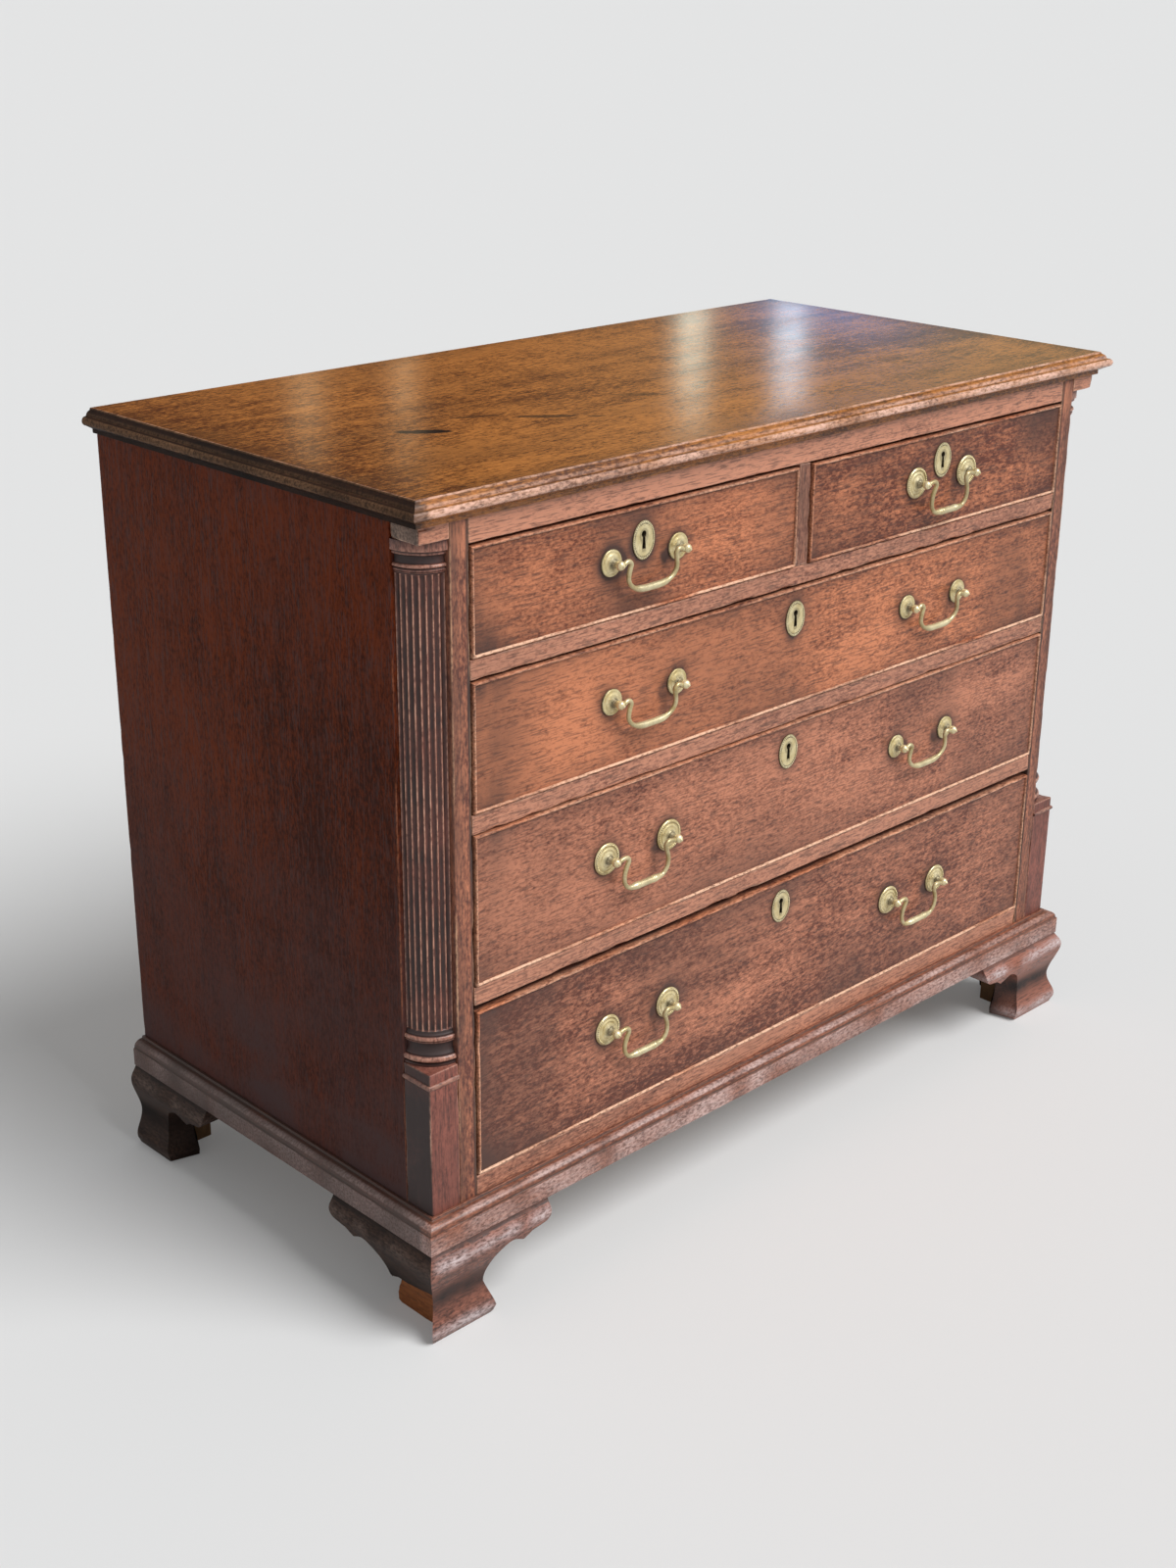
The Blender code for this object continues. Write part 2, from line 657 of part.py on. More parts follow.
def drawer_box(name, width, height, finish, holder):
    """Two sides, a back and a bottom set up in grooves, behind the drawer front."""
    near, far = FRONT_THICKNESS + FIT, DRAWER_LENGTH
    x, low, high = width / 2, FIT - FRONT_BOTTOM_GAP, height - BOX_TOP_DROP
    box = board(name, (-x, near, low), (x, far, high), finish, parent=holder)
    floor = low + BOX_BOTTOM_RISE
    past = 0.01
    inner = x - BOX_WALL
    above = ((-inner, near - past, floor + BOX_BOTTOM), (inner, far - BOX_WALL, high + past))
    below = ((-inner, near - past, low - past), (inner, far + past, floor))
    combine(box, "DIFFERENCE", board(f"{name}_above", *above, finish, parent=holder))
    combine(box, "DIFFERENCE", board(f"{name}_below", *below, finish, parent=holder))


def drawer_lock(name, height, key, finish, holder):
    """A lock case let into the back of the front, its keyhole bush and the oval escutcheon outside."""
    centre = (key[0], 0, key[1])
    face = -FIT - ESCUTCHEON_THICKNESS
    plate = prism(
        name, oval(ESCUTCHEON_WIDTH, ESCUTCHEON_HEIGHT, 20), "Y", face, -FIT, finish, at=centre, parent=holder
    )
    bush = prism(
        f"{name}_bush", oval(BUSH_WIDTH, BUSH_HEIGHT, 12), "Y", face + 0.0004,
        FRONT_THICKNESS - LOCK_THICKNESS + 0.002, finish, at=centre, parent=holder,
    )
    combine(plate, "UNION", bush)
    top = height - key[1] - FIT
    low = (-LOCK_WIDTH / 2, FRONT_THICKNESS - LOCK_THICKNESS, top - LOCK_HEIGHT + FIT)
    high = (LOCK_WIDTH / 2, FRONT_THICKNESS, top)
    combine(plate, "UNION", board(f"{name}_case", low, high, finish, at=centre, parent=holder))
    ends = (-0.01, FRONT_THICKNESS + 0.01)
    slot = prism(f"{name}_slot", keyhole(), "Y", *ends, finish, at=centre, parent=holder)
    combine(plate, "DIFFERENCE", slot)


# Handles


def post(name, rosette, out, x, z, toward, finish, holder):
    """Bolt, nut, rosette and ball in one, with a blind hole in the ball for the bail's pin.

    out is how far the ball's centre, where the pin turns, stands from the drawer front.
    """
    nut = FRONT_THICKNESS + FIT
    face = -FIT - ROSETTE_THICKNESS
    ball = [(-out + BALL_RADIUS * sin(a), BALL_RADIUS * cos(a)) for a in np.radians([50, 0, -50])]
    profile = [
        (nut + NUT_THICKNESS, NUT_RADIUS),
        (nut, NUT_RADIUS),
        (nut, BOLT_RADIUS),
        (-FIT, BOLT_RADIUS),
        (-FIT, rosette),
        (-FIT - ROSETTE_THICKNESS * 0.6, rosette * 0.95),
        (face, rosette * 0.40),
        (face - 0.0026, BALL_RADIUS * 0.62),
        *ball,
        (-out - BALL_RADIUS - FINIAL_LENGTH, BALL_RADIUS * 0.28),
    ]
    piece = turned(name, profile, 10, finish, at=(x, 0, z), parent=holder)
    inner = toward * (BALL_RADIUS - PIN_DEPTH - FIT)
    bore = [(-out + a, b) for a, b in circle(PIN_RADIUS + FIT, 8)]
    ends = sorted((inner, toward * (BALL_RADIUS + 0.004)))
    combine(piece, "DIFFERENCE", prism(f"{name}_bore", bore, "X", *ends, finish, at=(x, 0, z), parent=holder))


def bail(name, bends, drop, grip, half, out, x, z, finish, holder):
    """The bail, hanging from its pins. Its origin is on the hinge axis, midway between the posts.

    half is from there to a post, and out from the drawer front to the axis. bends follow the swan neck from
    the pin up, over and down to the grip, as (distance in from the post, height over the pivot). The other
    half is their mirror image.
    """
    pin = [(BALL_RADIUS - PIN_DEPTH, 0), (BALL_RADIUS + 0.0003, 0), (BALL_RADIUS + 0.0008, 0)]
    left = np.array([(inward - half, rise) for inward, rise in pin + bends + [(half, -drop)]])
    route = np.vstack([left, left[-2::-1] * (-1, 1)])
    slope = np.gradient(route, axis=0)
    slope /= np.linalg.norm(slope, axis=1)[:, None]
    swell = np.clip((GRIP_TAPER_START - np.abs(route[:, 0])) / GRIP_TAPER, 0, 1)
    radii = BAIL_RADIUS + (grip - BAIL_RADIUS) * swell
    radii[[0, 1, -2, -1]] = PIN_RADIUS
    slope[[0, 1]] = (1, 0)
    slope[[-2, -1]] = (1, 0)
    rings = []
    for (across, rise), (run, climb), radius in zip(route, slope, radii):
        rings.append([(across - climb * a, b, rise + run * a) for a, b in circle(radius, 8)])
    solid(name, rings, finish, at=(x, -out, z), parent=holder, rounded=True)


def handle(name, banded, x, z, posts, finish, holder):
    """One swan-neck handle: its left and right posts and the bail between them."""
    if banded:
        rosette, half, out = BANDED_ROSETTE_RADIUS, BANDED_PITCH / 2, BANDED_PIVOT_OUT
        drop, grip = BANDED_BAIL_DROP, BANDED_GRIP_RADIUS
        bends = [(0.0072, 0.0008), (0.0122, 0.0016), (0.0160, 0.0008), (0.0181, -0.0028), (0.0160, -0.0085)]
        bends += [(0.0136, -drop * 0.44), (0.0132, -drop * 0.64), (0.0152, -drop * 0.82)]
        bends += [(0.0212, -drop * 0.97)]
    else:
        rosette, half, out = PLAIN_ROSETTE_RADIUS, PLAIN_PITCH / 2, PLAIN_PIVOT_OUT
        drop, grip = PLAIN_BAIL_DROP, PLAIN_GRIP_RADIUS
        bends = [(0.0070, 0.0012), (0.0096, 0.0022), (0.0126, 0.0016), (0.0149, -0.0016), (0.0138, -0.0063)]
        bends += [(0.0126, -drop * 0.44), (0.0134, -drop * 0.63), (0.0172, -drop * 0.80)]
        bends += [(0.0238, -drop * 0.93)]
    bends.append((half - 0.0120, -drop * 0.995))
    for post_name, toward in zip(posts, (1, -1)):
        post(post_name, rosette, out, x - toward * half, z, toward, finish, holder)
    bail(name, bends, drop, grip, half, out, x, z, finish, holder)


def drawer(label, centre, width, floor, opening, top_gap, key_from, rise, handles):
    """A whole drawer on its own empty, whose origin is the middle of the front's lower edge.

    key_from is where its keyhole's sideways place is counted from, and rise lifts the posts over the middle
    of the front. handles lists (name of the bail, middle of the handle from the drawer's middle, banded).
    """
    holder = bpy.data.objects.new(f"drawer_{label}", None)
    bpy.context.scene.collection.objects.link(holder)
    holder.location = (centre, FRONT_Y, floor + FRONT_BOTTOM_GAP)
    height = opening - FRONT_BOTTOM_GAP - top_gap
    sideways, down = KEYHOLES[label]
    key = (key_from + sideways, height - down)
    z = height / 2 + rise
    posts = []
    for _, x, banded in handles:
        half = (BANDED_PITCH if banded else PLAIN_PITCH) / 2
        posts += [(x - half, z), (x + half, z)]
    drawer_front(f"drawer_front_{label}", width, height, posts, key, MAHOGANY_FRONT, holder)
    drawer_box(f"drawer_box_{label}", width, height, PINE, holder)
    drawer_lock(f"drawer_lock_{label}", height, key, BRASS, holder)
    for n, (name, x, banded) in enumerate(handles):
        pair = [f"handle_post_{label}_{2 * n + count}" for count in (1, 2)]
        handle(name, banded, x, z, pair, BRASS, holder)


for leftover in list(bpy.data.objects):
    bpy.data.objects.remove(leftover, do_unlink=True)

MAHOGANY = material("mahogany_case", (0.150, 0.050, 0.030), 0.38)
MAHOGANY_TOP = material("mahogany_top", (0.300, 0.120, 0.045), 0.28)
MAHOGANY_FRONT = material("mahogany_front", (0.270, 0.090, 0.050), 0.36)
MAHOGANY_DARK = material("mahogany_column", (0.060, 0.028, 0.022), 0.45)
PINE = material("pine", (0.420, 0.260, 0.120), 0.70)
BRASS = material("brass", (0.700, 0.560, 0.250), 0.30, 1.0)

top_board(MAHOGANY_TOP)
back_panel(PINE)
frieze_rail(MAHOGANY_FRONT)
centre_muntin(MAHOGANY_FRONT)
case_bottom(MAHOGANY_FRONT)
long_stops = (-HANDLE_CENTRE, HANDLE_CENTRE)
dust_board("dust_board_lower", LONG_MIDDLE_FLOOR, long_stops, MAHOGANY_FRONT)
dust_board("dust_board_middle", LONG_UPPER_FLOOR, long_stops, MAHOGANY_FRONT)
dust_board("dust_board_upper", SHORT_FLOOR, long_stops, MAHOGANY_FRONT)
base_moulding(MAHOGANY)
for side, end in ((-1, "left"), (1, "right")):
    side_panel(f"side_panel_{end}", side, MAHOGANY)
    corner_post(f"corner_post_{end}", side, MAHOGANY)
    quarter_column(f"quarter_column_{end}", side, MAHOGANY_DARK)
    plinth_block(f"plinth_block_{end}", side, MAHOGANY)
    front = front_foot(f"front_foot_{end}", side, MAHOGANY, PINE)
    if side < 0:
        break_facing(front, side, PINE)
    rear_foot(f"rear_foot_{end}", side, MAHOGANY, PINE)

short_start = MUNTIN_WIDTH / 2 + MUNTIN_SIDE_GAP
short_width = OPENING_HALF - FRONT_SIDE_GAP - short_start
short_centre = short_start + short_width / 2
long_width = 2 * (OPENING_HALF - FRONT_SIDE_GAP)
for end, side, banded in (("left", -1, False), ("right", 1, True)):
    offset = side * (HANDLE_CENTRE - short_centre)
    handles = [(f"bail_short_{end}", offset + HANDLE_SHIFTS[f"short_{end}"], banded)]
    drawer(
        f"short_{end}", side * short_centre, short_width, SHORT_FLOOR, SHORT_OPENING, SHORT_TOP_GAP, offset,
        HANDLE_RISE, handles,
    )
for level, floor, opening, top_gap, rise, left_banded, right_banded in (
    ("upper", LONG_UPPER_FLOOR, LONG_UPPER_OPENING, LONG_UPPER_TOP_GAP, HANDLE_RISE, False, False),
    ("middle", LONG_MIDDLE_FLOOR, LONG_MIDDLE_OPENING, LONG_MIDDLE_TOP_GAP, HANDLE_RISE, True, False),
    ("lower", LONG_LOWER_FLOOR, LONG_LOWER_OPENING, LONG_LOWER_TOP_GAP, LOWER_HANDLE_RISE, True, True),
):
    handles = []
    for end, side, banded in (("left", -1, left_banded), ("right", 1, right_banded)):
        x = side * HANDLE_CENTRE + HANDLE_SHIFTS[f"long_{level}_{end}"]
        handles.append((f"bail_long_{level}_{end}", x, banded))
    drawer(f"long_{level}", 0, long_width, floor, opening, top_gap, 0, rise, handles)
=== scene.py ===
"""Mahogany chest of drawers with fluted quarter columns, brass bails and ogee bracket feet.

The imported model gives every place; each section below makes one piece or group of like pieces, in the order in
which the chest is put together. Metres, +Z up, the drawers face -Y.
"""

import math

import bpy
import numpy as np
from mathutils import Matrix, Vector


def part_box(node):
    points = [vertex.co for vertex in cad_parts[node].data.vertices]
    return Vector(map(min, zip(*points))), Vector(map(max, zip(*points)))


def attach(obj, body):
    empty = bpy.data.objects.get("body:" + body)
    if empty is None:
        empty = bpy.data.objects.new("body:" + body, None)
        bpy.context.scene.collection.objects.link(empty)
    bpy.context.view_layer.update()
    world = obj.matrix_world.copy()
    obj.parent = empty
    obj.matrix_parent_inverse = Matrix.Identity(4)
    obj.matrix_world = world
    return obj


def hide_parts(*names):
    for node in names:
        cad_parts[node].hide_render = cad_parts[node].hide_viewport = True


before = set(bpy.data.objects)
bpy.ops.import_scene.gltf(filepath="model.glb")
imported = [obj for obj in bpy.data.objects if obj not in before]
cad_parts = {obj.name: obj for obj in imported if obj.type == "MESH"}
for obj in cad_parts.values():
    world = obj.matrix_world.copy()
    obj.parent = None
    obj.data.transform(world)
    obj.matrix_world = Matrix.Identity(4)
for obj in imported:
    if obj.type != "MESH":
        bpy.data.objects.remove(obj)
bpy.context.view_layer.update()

# Case sides
# Each side of the case is one wide mahogany board with its grain upright, polished outside and left bare inside.
# It is glued and nailed to the posts and shelves. It is darker than the front, partly in its own colour and partly
# as painted shade for the side turned away from the light.


def patches(at, size, seed):
    """Soft random patches from 0 to 1.

    A number is drawn for every corner of a lattice with cells of that size, and blended across each cell by
    3t² - 2t³ along each axis.
    """
    cell = np.asarray(at, float) / size + 17.37 * seed
    base = np.floor(cell).astype(np.int64)
    ease = cell - base
    ease = ease * ease * (3 - 2 * ease)
    total = np.zeros(cell.shape[:-1])
    for corner in np.ndindex(2, 2, 2):
        number = ((base + corner) * (73856093, 19349663, 83492791)).sum(-1) + seed * 40503
        number = (number ^ (number >> 15)) * 2246822519 & 0xFFFFFFFF
        number = (number ^ (number >> 13)) & 0xFFFF
        total += number / 0xFFFF * np.prod(np.where(corner, ease, 1 - ease), axis=-1)
    return total


def stand(name, data):
    """A new object in the scene, which holds a mesh, a lamp or a camera."""
    piece = bpy.data.objects.new(name, data)
    bpy.context.scene.collection.objects.link(piece)
    return piece


def shell(name, grid, wear_and_highlight=0.0, grime=0.0, fade=0.5, grain="X", seed=0, joined=False, crease=38):
    """The closed skin over a grid of points, where grid[i, j] is point j of ring i.

    Each ring closes on itself. The last ring runs on into the first where joined is true, and both ends are
    capped where it isn't. Three shares from 0 to 1 at each point, for the worn colour, the dirt colour and the
    paleness, are read by the finishes; some pieces also use them for painted highlights, painted shade and a
    painted sheen. grain_at is the point's place with its first number along the grain.
    """
    rings, count = grid.shape[:2]
    points = grid.reshape(-1, 3)
    ring = np.arange(rings if joined else rings - 1)[:, None]
    here = np.arange(count)[None, :]
    beside = (here + 1) % count
    after = (ring + 1) % rings
    quads = np.stack([ring * count + here, ring * count + beside, after * count + beside, after * count + here], -1)
    faces = quads.reshape(-1, 4).tolist()
    if not joined:
        faces += [list(range(count))[::-1], list(range((rings - 1) * count, rings * count))]
    corners = points[quads.reshape(-1, 4)] - points.mean(0)
    volume = np.einsum("ij,ij->", corners[:, 0], np.cross(corners[:, 1], corners[:, 2]))
    volume += np.einsum("ij,ij->", corners[:, 0], np.cross(corners[:, 2], corners[:, 3]))
    if volume < 0:
        faces = [face[::-1] for face in faces]
    mesh = bpy.data.meshes.new(name)
    mesh.from_pydata(points, [], faces)
    order = {"X": [0, 1, 2], "Y": [1, 0, 2], "Z": [2, 0, 1]}[grain]
    place = points[:, order] + np.array([2.31, 0.73, 1.19]) * (seed % 13)
    grain_at = mesh.attributes.new("grain_at", "FLOAT_VECTOR", "POINT")
    grain_at.data.foreach_set("vector", place.astype(np.float32).ravel())
    for label, share in (("wear_and_highlight", wear_and_highlight), ("grime", grime), ("fade", fade)):
        share = np.broadcast_to(np.clip(share, 0, 1), grid.shape[:2]).astype(np.float32)
        mesh.attributes.new(label, "FLOAT", "POINT").data.foreach_set("value", share.ravel())
    mesh.shade_smooth()
    mesh.set_sharp_from_angle(angle=math.radians(crease))
    return stand(name, mesh)


def fix(piece, finish, body, slot, *nodes):
    """Gives a piece its finish, fastens it to a body, and lets it stand for CAD nodes."""
    piece.data.materials.append(finish)
    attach(piece, body)
    if nodes:
        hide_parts(*nodes)


def bell(away):
    """A smooth hump of height 1: exp(-away²)."""
    return np.exp(-(away**2))


def plank(name, low, high, grain, corner=0.0007, step=0.02, seed=0, knocks=0.0004, wear_and_highlight=1.0, grime=0.3, fade=0.5):
    """A planed board with softened edges.

    Its section is a rectangle with quarter circles at the corners, carried along the grain and drawn in at
    both ends along the same quarter circle. Points near an edge sink by up to knocks where a patch is strong.
    knocks and the dirt and paleness shares may be functions of the points.
    """
    low, high = np.array(low, float), np.array(high, float)
    order = {"X": [0, 1, 2], "Y": [1, 0, 2], "Z": [2, 0, 1]}[grain]
    length, across, deep = (high - low)[order]

    def stations(size):
        count = max(2, int(size / step) + 1)
        margin = min(0.004, size * 0.2)
        inner = np.linspace(corner + margin, size - corner - margin, count)
        near = corner + margin * 0.3
        return np.concatenate([[corner, near], inner, [size - near, size - corner]]) - size / 2

    u, v = stations(across), stations(deep)
    turn = np.radians([30, 60])
    bow = corner * (1 - np.cos(turn)), corner * (1 - np.sin(turn))
    a, b = across / 2, deep / 2
    section = np.concatenate([
        np.stack([u, np.full(len(u), -b)], -1),
        np.stack([a - bow[1], -b + bow[0]], -1),
        np.stack([np.full(len(v), a), v], -1),
        np.stack([a - bow[0], b - bow[1]], -1),
        np.stack([-u, np.full(len(u), b)], -1),
        np.stack([-a + bow[1], b - bow[0]], -1),
        np.stack([np.full(len(v), -a), -v], -1),
        np.stack([-a + bow[0], -b + bow[1]], -1),
    ])
    rise = np.concatenate([[0], corner * (1 - np.sin(turn[::-1]))])
    sink = np.concatenate([[corner], corner * (1 - np.cos(turn[::-1]))])
    along = np.concatenate([rise, stations(length) + length / 2, length - rise[::-1]])
    inset = np.concatenate([sink, np.zeros(len(stations(length))), sink[::-1]])
    grid = np.empty((len(along), len(section), 3))
    grid[..., order[0]] = low[order[0]] + along[:, None]
    for axis, n, half in ((order[1], 0, a), (order[2], 1, b)):
        grid[..., axis] = (low + high)[axis] / 2 + section[:, n] * (1 - inset[:, None] / half)
    from_faces = np.minimum(grid - low, high - grid)
    rim = np.sort(from_faces, -1)[..., 1]
    knocks, dirt, fade = (share(grid) if callable(share) else share for share in (knocks, grime, fade))
    loss = knocks * np.clip(patches(grid, 0.016, seed + 3) * 4 - 2.4, 0, 1) * (rim < 0.002)
    near = from_faces < 0.002
    grid -= np.sign(grid - (low + high) / 2) * near * loss[..., None]
    worn = wear_and_highlight * bell(rim / 0.0009) * np.clip(1.5 * patches(grid, 0.04, seed + 5) - 0.35, 0, 1)
    dirt = dirt * (0.55 + 0.9 * patches(grid, 0.09, seed + 7) + 0.25 * bell(rim / 0.012))
    tone = fade + 0.5 * (patches(grid, 0.22, seed + 9) - 0.5)
    return shell(name, grid, worn, dirt, tone, grain, seed)


def paint(red, green, blue):
    """A colour given in the 0 to 255 of a colour chart, as the linear numbers that a shader takes."""
    chart = np.array([red, green, blue]) / 255
    return (*np.where(chart > 0.04045, ((chart + 0.055) / 1.055) ** 2.4, chart / 12.92), 1.0)


def new_finish(name):
    """A new material, with its nodes and its main shader."""
    finish = bpy.data.materials.new(name)
    finish.use_nodes = True
    return finish, finish.node_tree, finish.node_tree.nodes["Principled BSDF"]


def add(tree, kind, values=(), **settings):
    """A new node with its settings, whose sockets are given a number or linked to another node's socket."""
    node = tree.nodes.new(kind)
    for setting, value in settings.items():
        setattr(node, setting, value)
    for socket, value in dict(values).items():
        if isinstance(value, bpy.types.NodeSocket):
            tree.links.new(value, node.inputs[socket])
        else:
            node.inputs[socket].default_value = value
    return node


def sums(tree, operation, first, second):
    """Two numbers added, multiplied or so on."""
    return add(tree, "ShaderNodeMath", {0: first, 1: second}, operation=operation).outputs[0]


def weighted(tree, total, *terms):
    """A number with each further number added to it, times its weight."""
    for number, weight in terms:
        total = sums(tree, "ADD", total, sums(tree, "MULTIPLY", number, weight))
    return total


def spread_out(tree, number, low, high, at_low, at_high):
    """A number taken from one range to another and held at both ends."""
    return add(tree, "ShaderNodeMapRange", {0: number, 1: low, 2: high, 3: at_low, 4: at_high}).outputs[0]


def blend(tree, share, first, second):
    """The first colour, run into the second by a share."""
    mix = add(tree, "ShaderNodeMix", {0: share, 6: first, 7: second}, data_type="RGBA", clamp_factor=True)
    return mix.outputs[2]


def speckle(tree, place, scale, detail, rough=0.55, twist=0.0):
    """Noise over a place that is first stretched by a scale along each axis."""
    stretched = add(tree, "ShaderNodeMapping", {"Vector": place, "Scale": scale}).outputs[0]
    values = {"Vector": stretched, "Scale": 1.0, "Detail": detail, "Roughness": rough, "Distortion": twist}
    return add(tree, "ShaderNodeTexNoise", values).outputs[0]


def wood(name, deep, pale, dirty, worn, gloss, shine=0.5, figure=1.0, ribbons=0.8, stains=()):
    """Wood under an old polish.

    Ribbons, streaks, mottle, bands and ripple across the grain and fine speckle, all along grain_at, run the
    deep colour into the pale one. Mottle, bands and ripple are weighed by figure, and the ribbons by ribbons.
    Pores are flecks of the dirty colour. The dirty colour covers the wood as far as the piece's dirt share says and
    dulls the gloss, and the bare worn colour shows where its worn share says, at its worn edges; some pieces use
    these shares for painted shade, a painted sheen and painted highlights besides real dirt and rubbing. Streaks and
    speckle also give the bump. A stain is an oval with a ragged edge, given by its middle, its half length and
    width, its turn and its strength. The four colours are given as paint takes them.
    """
    finish, tree, shader = new_finish(name)
    deep, pale, dirty, worn = (paint(*chart) for chart in (deep, pale, dirty, worn))
    at, wear_and_highlight, grime, fade = (
        add(tree, "ShaderNodeAttribute", attribute_name=label).outputs[socket]
        for label, socket in (("grain_at", "Vector"), ("wear_and_highlight", "Fac"), ("grime", "Fac"), ("fade", "Fac"))
    )
    ribbon = speckle(tree, at, (2.2, 15, 15), 6, 0.6, 1.6)
    streak = speckle(tree, at, (26, 180, 180), 4, 0.62, 0.6)
    mottle = speckle(tree, at, (13, 17, 17), 6, 0.56, 1.0)
    band = speckle(tree, at, (15, 3.5, 3.5), 3, 0.55, 0.8)
    ripple = speckle(tree, at, (60, 22, 22), 4, 0.6, 1.0)
    fine = speckle(tree, at, (170, 380, 380), 4, 0.65)
    pore = speckle(tree, at, (52, 640, 640), 2, 0.5)
    tone = 0.5
    for number, weight in (
        (fade, 1.1), (ribbon, ribbons), (streak, 1.1), (mottle, 0.8 * figure), (band, 0.6 * figure),
        (ripple, 0.4 * figure), (fine, 3.0),
    ):
        tone = weighted(tree, tone, (sums(tree, "SUBTRACT", number, 0.5), weight))
    colour = blend(tree, tone, deep, pale)
    colour = blend(tree, spread_out(tree, pore, 0.36, 0.49, 0.55, 0.0), colour, dirty)
    ragged = weighted(tree, 0.0, (mottle, 0.35), (band, 0.4), (fine, 0.25))
    cover = sums(tree, "MULTIPLY", grime, spread_out(tree, ragged, 0.38, 0.62, 0.5, 1.35))
    colour = blend(tree, cover, colour, dirty)
    for middle, halves, turn, strength in stains:
        place = add(tree, "ShaderNodeTexCoord").outputs["Object"]
        oval = add(
            tree, "ShaderNodeMapping",
            {"Vector": place, "Location": middle, "Rotation": (0, 0, math.radians(turn)), "Scale": (*halves, 1)},
            vector_type="TEXTURE",
        ).outputs[0]
        away = add(tree, "ShaderNodeVectorMath", {0: oval}, operation="LENGTH").outputs["Value"]
        away = sums(tree, "ADD", away, speckle(tree, place, (110, 110, 110), 4))
        colour = blend(tree, spread_out(tree, away, 1.35, 1.55, strength, 0.0), colour, dirty)
    rubbed = sums(tree, "MULTIPLY", wear_and_highlight, spread_out(tree, fine, 0.36, 0.60, 0.25, 1.3))
    colour = blend(tree, rubbed, colour, worn)
    tree.links.new(colour, shader.inputs["Base Color"])
    tree.links.new(weighted(tree, gloss - 0.1, (grime, 0.30), (mottle, 0.2)), shader.inputs["Roughness"])
    shader.inputs["Specular IOR Level"].default_value = shine
    height = weighted(tree, 0.0, (streak, 0.6), (fine, 0.5))
    bump = add(tree, "ShaderNodeBump", {"Strength": 0.25, "Distance": 0.0006, "Height": height})
    tree.links.new(bump.outputs[0], shader.inputs["Normal"])
    return finish


# The side boards' colours are darker than the front's, partly the wood's own colour and partly painted shade for the
# sides turned away from the light.
side_finish = wood(
    "dark_shaded_mahogany", (57, 20, 4), (115, 48, 15), (83, 63, 62), (150, 96, 72), 0.28,
    shine=0.03, figure=0.6, ribbons=1.5,
)
# The side boards' greyish dirty colour is laid on low down as a painted sheen that reflects the floor; this height
# is where it ends.
grime_gone_z = 0.55


def rising_grime(grid):
    """A painted greyish sheen that reflects the floor: the dirt colour, strongest at the foot, thinning out evenly
    from the floor up.
    """
    return np.clip(1.05 - grid[..., 2] / grime_gone_z, 0.10, 0.9)


for end, seed in (("left", 11), ("right", 12)):
    low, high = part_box(f"side_panel_{end}")
    # The side boards' dirt share is a painted sheen that reflects the floor, greyer towards the bottom.
    board = plank(f"side_board_{end}", low, high, "Z", step=0.012, seed=seed, grime=rising_grime)
    fix(board, side_finish, "case", "mahogany_case", f"side_panel_{end}")

# Corner posts
# Behind each column stands a mahogany post with a rebate: its narrow face is the stile beside the drawers, and the
# column is glued into the corner that the rebate leaves. Grime lies in the joint along the drawers.
front_finish = wood(
    "red_mahogany", (114, 65, 50), (211, 145, 115), (58, 43, 38), (232, 192, 166), 0.34, figure=0.5
)
stile_finish = wood(
    "stile_mahogany", (100, 50, 39), (214, 136, 100), (62, 45, 40), (232, 182, 144), 0.34, figure=0.5
)
sides = (("left", -1), ("right", 1))
front_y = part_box("dust_board_upper")[0].y
recess_y = front_y + 0.039
opening_half, stile_edge = 0.461, 0.483
joint_wide, clean_wide, pale_z, pale_tall = 0.0026, 0.012, 0.820, 0.016


def stile_grime(grid):
    """Thick in the joint beside the drawers, hardly any on the strip next to it, some on the rest."""
    away = np.abs(grid[..., 0]) - opening_half
    return np.where(away < joint_wide, 0.95, np.where(away < clean_wide, 0.15, 0.45))


def stile_fade(grid):
    """Even, but for a pale spot at the height of the frieze rail."""
    return 0.40 + 0.75 * bell((grid[..., 2] - pale_z) / pale_tall)


for end, side in sides:
    low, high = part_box(f"corner_post_{end}")
    inner, edge, outer = side * opening_half, side * stile_edge, side * max(abs(low.x), abs(high.x))
    stile = plank(
        f"stile_{end}", (min(inner, edge), low.y, low.z), (max(inner, edge), high.y, high.z), "Z",
        corner=0.0011, step=0.012, seed=21 + side, knocks=0.0009, grime=stile_grime, fade=stile_fade,
    )
    fix(stile, stile_finish, "case", "mahogany_case", f"corner_post_{end}")
    post = plank(
        f"post_{end}", (min(edge, outer), recess_y, low.z), (max(edge, outer), high.y, high.z), "Z", seed=24 + side
    )
    fix(post, front_finish, "case", "mahogany_case")

# Shelves between the drawers
# Each shelf has a mahogany rail along the front, a pine dust panel behind it, two pine strips that guide the
# drawer sides and two small stops that the drawer front shuts against. All are housed in the case sides.
pine_finish = wood(
    "bare_pine", (150, 112, 72), (196, 158, 112), (104, 80, 58), (206, 172, 130), 0.62, shine=0.3
)
fit_gap, rest_gap = 0.0003, 0.0001
reach = opening_half - fit_gap
guide_inner = opening_half - 0.0005
rail_thick, rail_deep, guide_tall = 0.020, 0.059, 0.015
stop_at, stop_half, stop_tall, stop_back = 0.235, 0.025, 0.005, 0.0423
low_edge_z, notch_x, notch_wide = 0.352, -0.055, 0.035


def pine_board(name, low, high, grain, seed, body="case", nodes=(), slot="pine", **settings):
    """A bare pine board, fastened to its body."""
    fix(plank(name, low, high, grain, seed=seed, **settings), pine_finish, body, slot, *nodes)


def rail_knocks(grid):
    """Even, but for deeper knocks in the middle of the lower rail's lower edge."""
    notch = bell((grid[..., 0] - notch_x) / notch_wide)
    return 0.0012 + 0.0025 * (grid[..., 2] < low_edge_z) * notch


